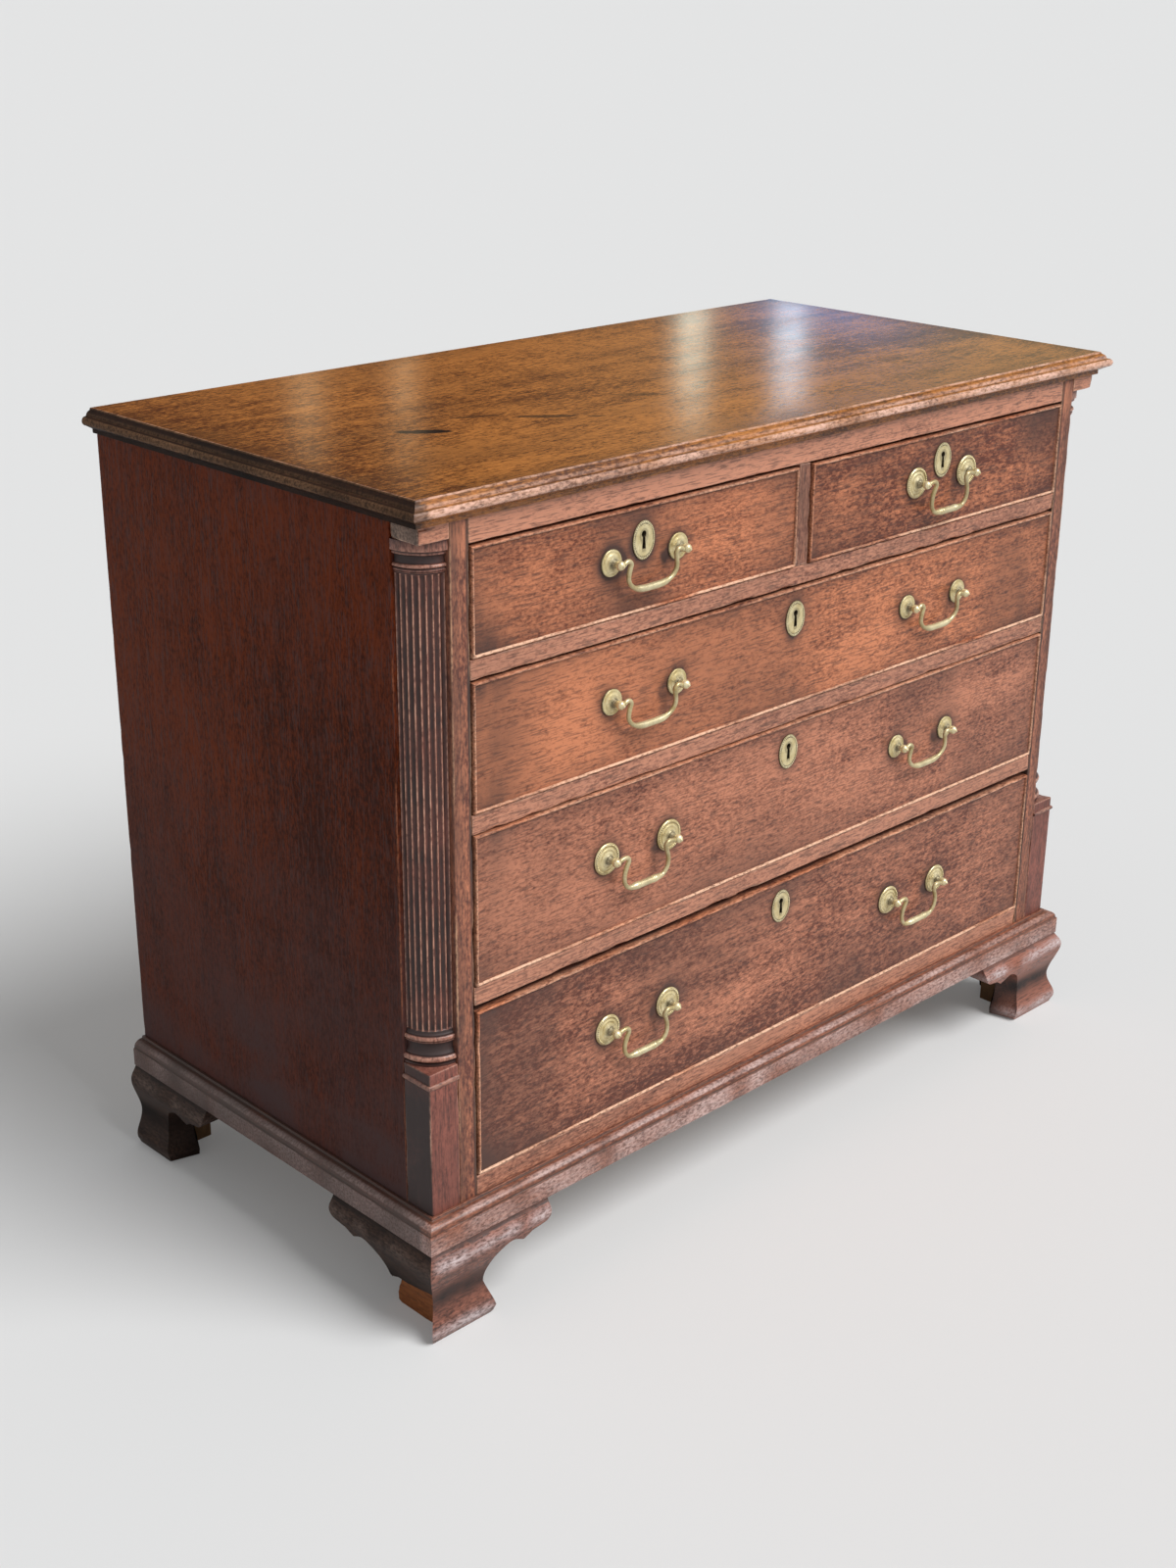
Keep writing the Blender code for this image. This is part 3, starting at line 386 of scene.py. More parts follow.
def runners(level, low, high, floor, strip_foot, stop_front, strip_seeds, stop_seed):
    """The two strips that guide the drawers on a shelf, and its two drawer stops."""
    for (end, side), seed in zip(sides, strip_seeds):
        edges = sorted((side * guide_inner, side * high.x))
        strip_low = (edges[0], low.y + rail_deep + 2 * fit_gap, strip_foot)
        pine_board(f"guide_{level}_{end}", strip_low, (edges[1], high.y, floor + guide_tall), "Y", seed)
        pine_board(
            f"stop_{level}_{end}", (side * stop_at - stop_half, low.y + stop_front, floor + rest_gap),
            (side * stop_at + stop_half, low.y + stop_back, floor + stop_tall), "X", stop_seed,
        )


for n, level in enumerate(("lower", "middle", "upper")):
    low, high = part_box(f"dust_board_{level}")
    floor = low.z + rail_thick
    rail = plank(
        f"rail_{level}", (-reach, low.y, low.z), (reach, low.y + rail_deep, floor), "X", corner=0.0012,
        step=0.012, seed=31 + n, knocks=rail_knocks, grime=0.18, fade=0.8,
    )
    fix(rail, front_finish, "case", "mahogany_front", f"dust_board_{level}")
    panel_low = (low.x, low.y + rail_deep + fit_gap, low.z)
    pine_board(f"dust_panel_{level}", panel_low, (high.x, high.y, floor), "X", 34 + n)
    runners(
        level, low, high, floor, strip_foot=floor + rest_gap, stop_front=0.0203,
        strip_seeds=(40 + n, 42 + n), stop_seed=47 + n,
    )

# Bottom of the case
# A pine board closes the case under the lowest drawer. A mahogany rail stands along its front edge, and the base
# moulding is planted on the lower part of that rail.
low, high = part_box("case_bottom")
floor = 0.156
board_foot = floor - rail_thick
rail = plank(
    "base_rail", (-reach, low.y, low.z), (reach, low.y + rail_thick, floor), "X", corner=0.0012, step=0.012,
    seed=51, knocks=0.0012, grime=0.2, fade=0.7,
)
fix(rail, front_finish, "case", "mahogany_front", "case_bottom")
pine_board("bottom_board", (-reach, low.y + 0.0203, board_foot), (reach, high.y, floor), "X", 52)
runners(
    "bottom", low, high, floor, strip_foot=board_foot, stop_front=0.0206, strip_seeds=(53, 53), stop_seed=55
)

# Frieze rail and kickers
# Under the top a mahogany rail closes the front, with its ends against the column blocks. Three pine kickers run
# back from it and keep an open drawer from tipping.
low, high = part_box("frieze_rail")
top_rail_deep, behind_rail, kicker_wide = 0.060, 0.0603, 0.060
rail = plank(
    "frieze_front", (-reach, low.y, low.z), (reach, low.y + top_rail_deep, high.z), "X", corner=0.0012,
    step=0.012, seed=61, knocks=0.0006, grime=0.05, fade=1.1,
)
fix(rail, front_finish, "case", "mahogany_front", "frieze_rail")
for place, left, right in (
    ("left", low.x, low.x + kicker_wide), ("middle", -kicker_wide / 2, kicker_wide / 2),
    ("right", high.x - kicker_wide, high.x),
):
    pine_board(f"kicker_{place}", (left, low.y + behind_rail, low.z), (right, high.y, high.z), "Y", 63)

# Upright between the short drawers
# A short mahogany muntin is tenoned between the frieze rail and the upper shelf, and a pine strip behind its foot
# guides both short drawers.
low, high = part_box("centre_muntin")
upright = plank(
    "muntin", low, (high.x, low.y + top_rail_deep, high.z), "Z", corner=0.0010, step=0.01, seed=66,
    knocks=0.0008, grime=0.4,
)
fix(upright, front_finish, "case", "mahogany_front", "centre_muntin")
pine_board("muntin_guide", (low.x, low.y + behind_rail, low.z), (high.x, high.y, low.z + guide_tall), "Y", 67)

# Back
# The back is four wide pine boards laid across and nailed to the sides, with a little shrinkage between them. They
# have never been polished.
low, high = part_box("back_panel")
count, crack = 4, 0.0012
tall = (high.z - low.z + crack) / count
for n in range(count):
    foot = low.z + n * tall
    pine_board(
        f"back_board_{n + 1}", (low.x, low.y, foot), (high.x, high.y, foot + tall - crack), "X", 71 + n,
        nodes=["back_panel"] if n == 0 else [],
    )

# Quarter columns
# Each corner column is a quarter of a turned mahogany shaft with eight flutes planed down it and rounded at both
# ends, between a turned base and capital. It is glued into the corner of the post and has gone nearly black.
column_finish = wood(
    "blackened_mahogany", (96, 48, 38), (166, 96, 80), (47, 31, 29), (214, 164, 140), 0.28, figure=0.5
)
shaft_radius, shaft_low, shaft_high = 0.0315, 0.3300, 0.7876
flutes, flute_deep, flute_half, flute_end, points_per_flute = 8, 0.0019, 0.42, 0.0032, 12


def swell(low, high, inner, out):
    """A half-round ring from one height to another, as (height, radius)."""
    turn = np.linspace(0, math.pi, 9)
    return [((low + high) / 2 - (high - low) / 2 * math.cos(t), inner + out * math.sin(t)) for t in turn]


for end, side in sides:
    low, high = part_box(f"quarter_column_{end}")
    corner_x, corner_y = side * min(abs(low.x), abs(high.x)), high.y
    base = [(low.z, 0.0351), (low.z + 0.0028, 0.0352), (0.2969, 0.0334)] + swell(0.2972, 0.3044, 0.0330, 0.0035)
    base += [(0.3047, 0.0334), (0.3056, 0.0333), (0.3068, 0.0324), (0.3095, 0.0314), (0.3130, 0.0309)]
    base += [(0.3160, 0.0313), (0.3182, 0.0326), (0.3187, 0.0336), (0.3196, 0.0336)]
    base += swell(0.3199, 0.3253, 0.0325, 0.0024)
    base += [(0.3256, 0.0328), (0.3266, 0.0328), (0.3272, 0.0321), (0.3285, 0.0316)]
    shaft = np.concatenate([
        np.linspace(shaft_low, 0.3340, 9), np.linspace(0.342, 0.780, 40), np.linspace(0.7836, shaft_high, 9)
    ])
    cap = [(0.7884, 0.0316), (0.7889, 0.0326), (0.7896, 0.0327)] + swell(0.7899, 0.7929, 0.0322, 0.0012)
    cap += swell(0.7933, 0.7972, 0.0321, 0.0025)
    cap += [(0.7976, 0.0322), (0.7995, 0.0316), (0.8025, 0.0315), (0.8045, 0.0320), (0.8056, 0.0334)]
    cap += [(0.8060, 0.0345), (0.8083, 0.0345), (0.8090, 0.0350), (0.8095, 0.0364), (0.8192, 0.0364)]
    heights = np.array([z for z, _ in base] + list(shaft) + [z for z, _ in cap])
    radii = np.array([r for _, r in base] + [shaft_radius] * len(shaft) + [r for _, r in cap])
    turn = np.linspace(0, math.pi / 2, flutes * points_per_flute + 1)
    spot = (turn * flutes / (math.pi / 2)) % 1.0
    hollow = np.sqrt(np.clip(1 - ((spot - 0.5) / flute_half) ** 2, 0, 1))
    from_end = np.clip(np.minimum(heights - shaft_low, shaft_high - heights) / flute_end, 0, 1)
    cut = np.sqrt(np.clip(1 - (1 - from_end) ** 2, 0, 1))
    radius = radii[:, None] - flute_deep * hollow * cut[:, None]
    grid = np.empty((len(heights), len(turn) + 1, 3))
    grid[:, 0, 0], grid[:, 0, 1] = corner_x, corner_y
    grid[:, 1:, 0] = corner_x + side * radius * np.cos(turn)
    grid[:, 1:, 1] = corner_y - radius * np.sin(turn)
    grid[..., 2] = heights[:, None]
    around = [np.interp(heights + shift, heights, radii) for shift in (-0.004, -0.002, 0.002, 0.004)]
    proud = np.zeros(grid.shape[:2])
    proud[:, 1:] = ((radii - np.mean(around, 0)) / 0.0012)[:, None]
    in_flute = np.zeros(grid.shape[:2])
    in_flute[:, 1:] = hollow * cut[:, None]
    unfluted = (cut < 0.5)[:, None]
    # The worn colour on the arrises and the proud rings is partly wear and partly painted highlight; the dirt colour
    # in the flutes and in the hollows between the rings is partly dirt and partly painted shade.
    worn = np.where(unfluted, np.clip(proud, 0, 1) * 0.5, 0.85 * (1 - in_flute) ** 4)
    worn = worn * (0.3 + 0.9 * patches(grid, 0.04, 81 + side))
    dirt = np.where(unfluted, np.clip(0.72 - 0.7 * proud, 0, 1), 0.15 + 0.75 * in_flute)
    column = shell(f"column_{end}", grid, worn, dirt, 0.38, "Z", 81 + side, crease=50)
    fix(column, column_finish, "case", "mahogany_column", f"quarter_column_{end}")

# Column blocks
# A square block of the frieze stands on each column, flush with the case, and the column stands on a taller plinth
# block with a small half-round moulding round its two outer faces just under the top. The faces at the side of the
# case are painted nearly black, as painted shade for the faces turned away from the light.
case_half = 0.520
frieze_foot, bead_z, bead_out, bead_half = 0.8195, 0.2792, 0.0021, 0.0027
# Its near-black dirty colour is laid on the frieze blocks' side faces as painted shade, and darkens the pores.
block_finish = wood(
    "block_mahogany", (114, 65, 50), (211, 145, 115), (26, 18, 15), (232, 192, 166), 0.34, figure=0.5
)


def run(corners, mitres, step, closed=False):
    """Stations along a line of corners, with the direction in which a section is laid off at each.

    Both change evenly from corner to corner, so that the sections at the corners lie on the mitres.
    """
    corners, mitres = np.array(corners, float), np.array(mitres, float)
    spans = len(corners) if closed else len(corners) - 1
    places, lays = [], []
    for n in range(spans):
        here, there = corners[n], corners[(n + 1) % len(corners)]
        share = np.arange(max(1, int(np.linalg.norm(there - here) / step)))[:, None]
        share = share / len(share)
        places.append(here + (there - here) * share)
        lays.append(mitres[n] + (mitres[(n + 1) % len(corners)] - mitres[n]) * share)
    if not closed:
        places.append(corners[-1:])
        lays.append(mitres[-1:])
    return np.concatenate(places), np.concatenate(lays)


def carry(places, lays, section, plane="XY"):
    """A section of (out, height) points laid off at every station, as a grid with one ring to a station."""
    section = np.array(section, float)
    flat = places[:, None] + lays[:, None] * section[None, :, :1]
    grid = np.empty((*flat.shape[:2], 3))
    if plane == "XY":
        grid[..., :2], grid[..., 2] = flat, section[:, 1]
    else:
        grid[..., 0], grid[..., 2], grid[..., 1] = flat[..., 0], flat[..., 1], section[:, 1]
    return grid


def by_face(at_side, elsewhere):
    """One share on the face at the side of the case, and another on the rest of a block."""
    return lambda grid: np.where(np.abs(grid[..., 0]) > case_half - 0.001, at_side, elsewhere)


for end, side in sides:
    low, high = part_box(f"quarter_column_{end}")
    inner = side * min(abs(low.x), abs(high.x))
    edges = sorted((inner, side * case_half))
    # On the face at the side of the case the dirt share is full and the paleness none, as painted shade.
    block = plank(
        f"frieze_block_{end}", (edges[0], front_y, frieze_foot), (edges[1], high.y, high.z), "X", corner=0.0009,
        step=0.006, seed=84 + side, knocks=0.0014, grime=by_face(1.0, 0.05), fade=by_face(0.0, 0.95),
    )
    fix(block, block_finish, "case", "mahogany_column")
    low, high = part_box(f"plinth_block_{end}")
    # The plinth's side face likewise gets more dirt colour and less paleness, as painted shade.
    block = plank(
        f"plinth_{end}", (edges[0], front_y, low.z), (edges[1], high.y, high.z), "Z", corner=0.0010, step=0.008,
        seed=86 + side, knocks=0.0010, grime=by_face(0.9, 0.30), fade=by_face(0.2, 0.62),
    )
    fix(block, column_finish, "case", "mahogany_case", f"plinth_block_{end}")
    places, lays = run(
        [(inner, front_y), (side * case_half, front_y), (side * case_half, high.y)],
        [(0, -1), (side, -1), (side, 0)], 0.004,
    )
    turn = np.radians(np.linspace(-90, 90, 9))
    half_round = [(bead_out * math.cos(t), bead_z + bead_half * math.sin(t)) for t in turn]
    grid = carry(places, lays, half_round + [(-0.0010, 0.2819), (-0.0010, 0.2765)])
    lost = 0.0009 * np.clip(patches(grid, 0.010, 88 + side) * 4 - 2.6, 0, 1)
    grid[..., 2] += np.where(grid[..., 2] > bead_z, -lost, lost)
    strip = shell(f"plinth_bead_{end}", grid, 0.7 * patches(grid, 0.02, 89), 0.4, 0.4, "X", 88)
    fix(strip, column_finish, "case", "mahogany_case")

# Base moulding
# A moulding is planted round the foot of the case on three sides and mitred at the front corners: a flat band, a
# groove, a quarter round and a small fillet against the case. Along the sides it is darker, partly dust and partly
# painted shade for the faces turned away from the light. Its groove and the fillet against the case are darker
# too, and the worn colour on the band's edges and the quarter round, stronger on the front, is partly wear and
# partly painted highlight.
base_finish = wood(
    "base_mahogany", (88, 48, 37), (172, 106, 78), (64, 47, 40), (220, 194, 188), 0.22, figure=0.6
)
foot_tall, base_top, base_out = 0.1015, 0.135, 0.0162
low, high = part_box("base_moulding")
turn = np.radians(np.linspace(0, 90, 9))
quarter = [(0.0052 + 0.0094 * math.cos(t), 0.1246 + 0.0080 * math.sin(t)) for t in turn]
section = [(0.0004, low.z), (base_out - 0.0006, low.z), (base_out, low.z + 0.0006), (base_out, 0.1225)]
section += [(base_out - 0.0005, 0.1234), (0.0150, 0.1237), (0.0146, 0.1241)] + quarter
section += [(0.0040, 0.1328), (0.0036, 0.1333), (0.0034, 0.1347), (0.0030, base_top), (0.0004, base_top)]
places, lays = run(
    [(-case_half, high.y), (-case_half, front_y), (case_half, front_y), (case_half, high.y)],
    [(-1, 0), (-1, -1), (1, -1), (1, 0)], 0.006,
)
grid = carry(places, lays, section)
point = np.arange(len(section))
lost = 0.0010 * np.clip(patches(grid, 0.022, 91) * 4 - 2.5, 0, 1) * np.isin(point, [2, 3, 4, 5])
grid[..., :2] -= lays[:, None] * lost[..., None]
on_front = grid[..., 1] < front_y - 0.0001
# Dust and painted shade: the sides get far more dirt colour than the front, partly as painted shade, and the groove
# and the fillet against the case get more.
dust_and_shade = np.where(on_front, 0.25, 0.85) * (0.6 + 0.6 * patches(grid, 0.05, 93))
dust_and_shade += 0.5 * np.isin(point, [5, 6, 7, len(section) - 5, len(section) - 4])
# The worn colour on the band's edges and the quarter round, weaker on the sides, is partly wear and partly painted
# highlight.
worn = np.where(np.isin(point, [2, 3, 10, 11, 12, 13]), 0.55, 0.0) * patches(grid, 0.03, 94)
worn = worn * np.where(on_front, 1.0, 0.35)
# The sides also get a lower paleness, as painted shade.
piece = shell("base_run", grid, worn, dust_and_shade, np.where(on_front, 0.5, 0.12), "X", 91, crease=30)
fix(piece, base_finish, "case", "mahogany_case", "base_moulding")

# Feet
# Each foot has two facings with an ogee face, bandsawn to a scrolled outline and mitred at the corner; at the back
# a plain bracket takes the place of one. Pine blocks glued behind carry the weight. The lower end of the near
# front foot's side facing has split off, and the raw inner layer shows.
# The foot's worn colour, a pale bluish grey, also serves as the painted highlight on the swell and the toe.
foot_finish = wood(
    "foot_mahogany", (70, 40, 31), (156, 98, 79), (37, 28, 26), (206, 192, 192), 0.22, shine=0.4, figure=0.5
)
# The side facings take a darker copy of the foot's mahogany, as painted shade for the faces turned away from the
# light.
shaded_flank_finish = wood(
    "shaded_foot_mahogany", (46, 31, 25), (88, 64, 52), (34, 27, 25), (190, 166, 154), 0.26, shine=0.12, figure=0.5
)
raw_finish = wood(
    "split_wood", (120, 66, 34), (172, 104, 58), (84, 54, 38), (196, 146, 104), 0.6, shine=0.25
)
wing, ankle, bulge, facing_back = 0.142, 0.0655, 0.0225, -0.016
foot_top = foot_tall - fit_gap


def along_curve(points, steps):
    """Points along a smooth curve through the given ones, whose slope at each is half its neighbours' chord."""
    p = np.array(points, float)
    p = np.vstack([2 * p[0] - p[1], p, 2 * p[-1] - p[-2]])
    t = (np.arange(steps) / steps)[:, None]
    spans = [
        b + t * (c - a) / 2 + t**2 * (a - 2.5 * b + 2 * c - d / 2) + t**3 * (3 * b - a - 3 * c + d) / 2
        for a, b, c, d in zip(p, p[1:], p[2:], p[3:])
    ]
    return np.vstack(spans + [p[-2:-1]])


ogee = along_curve([
    (0.016, 0.0), (0.020, foot_tall * 0.14), (0.0115, foot_tall * 0.43), (bulge, foot_tall * 0.82), (0.015, foot_top)
], 12)
lobe = np.radians(np.linspace(-80, 0, 7))
lower_edge = np.vstack([
    [(0.0, 0.0), (0.02, 0.0), (0.04, 0.0), (ankle - 0.006, 0.0), (ankle - 0.0015, 0.002)],
    along_curve([
        (ankle, foot_tall * 0.095), (ankle - 0.008, foot_tall * 0.215), (ankle - 0.010, foot_tall * 0.425),
        (ankle + 0.001, foot_tall * 0.645), (ankle + 0.021, foot_tall * 0.760), (wing - 0.0365, foot_tall * 0.685),
    ], 6),
    [(wing - 0.026, foot_tall * 0.755)],
    np.stack([wing - 0.013 + 0.013 * np.cos(lobe), foot_tall * 0.905 + 0.013 * np.sin(lobe)], -1),
])
upper_share = np.interp(
    np.arange(len(lower_edge)), [0, 4, 5, 11, 17, 23, 29, 35, 36, len(lower_edge) - 1],
    [0.0, 0.030, 0.033, 0.038, 0.045, 0.058, 0.084, 0.105, 0.116, wing],
)


def facing(broken=False):
    """A facing's place in its own terms: how far from the corner, how far out from the case, how high.

    Lines run from the top edge to the sawn lower edge, fanned so that none crosses the outline, and each
    point of a line stands out as the ogee does at its height. The back is flat. At the corner the face runs
    on to the mitre. On a broken facing the face drops to the inner layer below a line that slopes down from
    the corner, and that layer is torn along the grain.
    """
    rows = 26
    start = np.stack([upper_share, np.full(len(lower_edge), foot_top)], -1)
    line = start[:, None] + (lower_edge - start)[:, None] * np.linspace(0, 1, rows)[None, :, None]
    if broken:
        # each line is cut where it meets the break, and sampled anew above and below it
        split = foot_tall * 0.57 - 0.22 * line[..., 0]
        under = line[..., 1] < split
        first = np.where(under.any(1), under.argmax(1), rows - 1)
        share = np.linspace(0, 1, rows)[np.maximum(first, 1)]
        near = np.linspace(0, 1, rows // 2)[None] * share[:, None]
        far = share[:, None] + np.linspace(0, 1, rows - rows // 2)[None] * (1 - share)[:, None]
        line = start[:, None] + (lower_edge - start)[:, None] * np.concatenate([near, far], 1)[..., None]
    out = np.minimum(np.interp(line[..., 1], ogee[:, 1], ogee[:, 0]), bulge)
    if broken:
        inner = np.arange(rows)[None] >= rows // 2
        torn = -0.0072 + 0.0022 * patches(np.stack([line[..., 0] * 0.4, line[..., 1], out * 0], -1), 0.006, 97)
        out = np.where(inner & (first < rows - 1)[:, None], torn, out)
    away = line[..., 0] - out * np.clip(1 - line[..., 0] / 0.03, 0, 1)
    face = np.stack([away, out, line[..., 1]], -1)
    away = line[..., 0] - facing_back * (1 - line[..., 0] / wing)
    back = np.stack([away, np.full_like(out, facing_back), line[..., 1]], -1)
    return np.concatenate([face, back[:, ::-1]], 1), rows


def foot_wear_and_light(place, rows, seed):
    """Worn colour and dirt of a facing, with painted light. The swell and the toe get the worn colour, partly rubbed
    and partly as a painted highlight; the hollow gets the dirt colour, partly dirt and partly painted shade, and the
    top edge under the base moulding gets it as painted shade. The back is dirty.
    """
    height = place[..., 2] / foot_tall
    face = (np.arange(place.shape[1]) < rows)[None]
    # The swell and the toe get the worn colour partly as rubbing and partly as a painted highlight.
    rub_and_highlight = bell((height - 0.87) / 0.06) * 0.9 + bell((height - 0.10) / 0.06) * 0.8
    worn = face * rub_and_highlight * np.clip(1.4 * patches(place, 0.018, seed) - 0.2, 0, 1)
    # The hollow's dirt is partly painted shade, and the top edge under the base moulding is painted shade.
    dirt = 0.20 + 0.85 * bell((height - 0.45) / 0.14) + 0.6 * (height > 0.96)
    return worn, np.where(face, dirt, 0.9)


near, block, strip, toe, bracket_thick = 0.015, 0.034, 0.022, ankle - 0.006, 0.019
blocks = (
    ("corner", "Z", (near, near + block), (near, near + block), 0.003),
    ("long", "X", (near + block, wing + 0.014), (near, near + strip), foot_top - strip),
    ("short", "X", (near, near + strip), (near + block, wing + 0.014), foot_top - strip),
)
bracket = np.array([
    (0.014, 0), (toe, 0), (toe, foot_top * 0.3), (wing, foot_top * 0.88), (wing, foot_top), (0.014, foot_top)
])
for label, corner_y, inward in (("front", front_y, 1), ("rear", high.y, -1)):
    for end, side in sides:
        node = f"{label}_foot_{end}"
        broken = node == "front_foot_left"
        place, rows = facing(broken)
        worn, dirt = foot_wear_and_light(place, rows, 101 + side)
        if label == "rear":
            place[..., 0] = np.maximum(place[..., 0], fit_gap)
        grid = np.stack([
            side * (case_half + place[..., 1]), corner_y + inward * place[..., 0], place[..., 2]
        ], -1)
        raw = (place[..., 1] < -0.003) & (np.arange(place.shape[1]) < rows)[None]
        dirt = np.where(raw, 0.25, dirt)
        tone = np.where(raw, 0.8, 0.4)
        flank = shell(f"{node}_side_facing", grid, 0.15 * worn, dirt, tone, "Y", 101 + side, crease=45)
        fix(flank, shaded_flank_finish, "case", "mahogany_case", node)
        if broken:
            flank.data.materials.append(raw_finish)
            bare = np.zeros(len(flank.data.polygons), np.int32)
            count = place.shape[1]
            ring, spot = np.divmod(np.arange((place.shape[0] - 1) * count), count)
            within = raw[ring, spot] & raw[ring + 1, spot]
            bare[: len(ring)] = within | (raw[ring, (spot + 1) % count] & (spot < rows))
            flank.data.polygons.foreach_set("material_index", bare)
        if label == "front":
            place, rows = facing()
            worn, dirt = foot_wear_and_light(place, rows, 104 + side)
            grid = np.stack([side * (case_half - place[..., 0]), corner_y - place[..., 1], place[..., 2]], -1)
            tone = 0.8 + 0.2 * side
            piece = shell(f"{node}_front_facing", grid, worn, dirt - 0.1, tone, "X", 104 + side, crease=45)
            fix(piece, foot_finish, "case", "mahogany_case")
        else:
            grid = np.empty((2, len(bracket), 3))
            grid[..., 0], grid[..., 2] = side * (case_half - bracket[:, 0]), bracket[:, 1]
            grid[..., 1] = np.array([high.y - bracket_thick, high.y])[:, None]
            piece = shell(f"{node}_bracket", grid, 0.1, 0.6, 0.4, "X", 107)
            fix(piece, pine_finish, "case", "mahogany_case")
        for part, grain, across, deep, under in blocks:
            xs = sorted(side * (case_half - t) for t in across)
            ys = sorted(corner_y + inward * t for t in deep)
            pine_board(
                f"{node}_{part}_block", (xs[0], ys[0], under), (xs[1], ys[1], foot_top), grain, 111,
                slot="mahogany_case", grime=0.8, fade=0.2,
            )

# Top
# The top is one wide board with a moulded edge worked on three sides: a fillet, a hollow and a round nose. The
# polish has gone golden where light and cloths reached it, old ink stains lie left of the middle, two clear and
# four faint, and the left edge is painted nearly black, as painted shade for the edge turned away from the light.
top_finish = wood(
    "golden_mahogany", (100, 52, 20), (212, 136, 66), (28, 18, 12), (230, 186, 166), 0.10,
    shine=0.5, figure=1.1, ribbons=1.8,
    stains=(
        ((-0.345, -0.047, 0.862), (0.0290, 0.0085), -36, 1.0), ((-0.208, -0.074, 0.862), (0.0330, 0.0070), -36, 0.7),
        ((-0.262, -0.028, 0.862), (0.0280, 0.0045), -20, 0.5), ((-0.168, -0.108, 0.862), (0.0110, 0.0040), -30, 0.6),
        ((-0.060, -0.060, 0.862), (0.0300, 0.0080), -36, 0.35), ((-0.430, 0.060, 0.862), (0.0120, 0.0070), 20, 0.35),
    ),
)
low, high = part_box("top_board")
over, nose_radius, nose_rise, upper_edge = 0.0163, 0.0050, 0.0134, 0.0052
nose = np.radians(np.linspace(-80, 62, 10))
edge = [(0.0045, low.z), (0.0045, low.z + 0.0040), (0.0052, low.z + 0.0046)]
edge += [
    (over - nose_radius + nose_radius * math.cos(t), low.z + nose_rise + nose_radius * math.sin(t)) for t in nose
]
edge += [(0.0122, low.z + 0.0180), (0.0106, low.z + 0.0187), (0.0102, low.z + 0.0205), (0.0090, low.z + 0.0221)]
edge += [(0.0068, low.z + 0.0235), (0.0061, low.z + 0.0240), (0.0058, low.z + 0.0252), (upper_edge, high.z - 0.0002)]
edge += [(upper_edge - 0.0008, high.z)]
insets = np.concatenate([[0.0015], np.arange(0.004, 0.2575, 0.0055)])
outs = np.array([o for o, _ in edge] + [upper_edge - 0.0008 - t for t in insets])
levels = np.array([z for _, z in edge] + [high.z] * len(insets))
long_count, short_count = 220, 110
ring_points = 2 * (long_count + short_count)
long_run, short_run = np.arange(long_count) / long_count, np.arange(short_count) / short_count
grid = np.empty((len(outs), ring_points, 3))
right = case_half + outs[:, None]
fore = front_y - outs[:, None]
aft = np.where(np.arange(len(outs)) < len(edge), high.y, high.y - (outs[len(edge) - 1] - outs))[:, None]
grid[..., 0] = np.concatenate([
    right * (2 * long_run - 1), right + 0 * short_run, -right * (2 * long_run - 1), -right + 0 * short_run
], 1)
grid[..., 1] = np.concatenate([
    fore + 0 * long_run, fore + (aft - fore) * short_run, aft + 0 * long_run, aft + (fore - aft) * short_run
], 1)
grid[..., 2] = levels[:, None]
on_edge = np.isin(np.arange(len(outs)), range(8, 14))[:, None]
lost = 0.0009 * np.clip(patches(grid, 0.018, 121) * 4 - 2.7, 0, 1) * on_edge
grid[..., 0] -= np.sign(grid[..., 0]) * lost
grid[..., 1] += np.where(grid[..., 1] < front_y, lost, 0)
flat = np.arange(len(outs))[:, None] >= len(edge) - 1
x, y = grid[..., 0], grid[..., 1]
rim = np.minimum(np.minimum(case_half - np.abs(x), y - front_y), high.y - y)
dirt = 0.02 + 0.30 * patches(grid, (0.12, 0.05, 1), 125) ** 2 + 0.25 * bell(rim / 0.02)
dirt = np.where(flat, dirt, 0.25)
# The left edge of the moulding gets heavy dirt colour and its own darker finish, as painted shade for the edge
# turned away from the light.
shaded_left_rim = (x < -case_half + 0.001) & ~flat
dirt = np.where(shaded_left_rim, 0.85, dirt)
profile_wear = np.zeros(len(outs))
profile_wear[6:12] = 0.85
profile_wear[14:16] = 0.5
profile_wear[len(edge) - 3: len(edge)] = 0.7
worn = profile_wear[:, None] * (0.25 + 0.85 * patches(grid, 0.05, 127)) * np.where(shaded_left_rim, 0.35, 1.0)
tone = 0.52 + 0.5 * (patches(grid, (0.30, 0.10, 0.1), 129) - 0.4) + 0.25 * bell(x / 0.25)
tone = np.where(flat, tone - 0.3 * np.clip((-0.38 - x) / 0.1, 0, 1), 0.45)
piece = shell("moulded_top", grid, worn, dirt, tone, "X", 121, crease=32)
fix(piece, top_finish, "case", "mahogany_top", "top_board")
# A darker copy of the top's finish for the left edge, as painted shade.
shaded_edge_finish = wood(
    "shaded_edge", (42, 25, 16), (88, 53, 34), (22, 14, 10), (190, 142, 104), 0.34, shine=0.1
)
piece.data.materials.append(shaded_edge_finish)
ring, spot = np.divmod(np.arange((len(outs) - 1) * ring_points), ring_points)
dark = np.zeros(len(piece.data.polygons), np.int32)
dark[: len(ring)] = (ring < len(edge) - 1) & (spot >= 2 * long_count + short_count)
piece.data.polygons.foreach_set("material_index", dark)

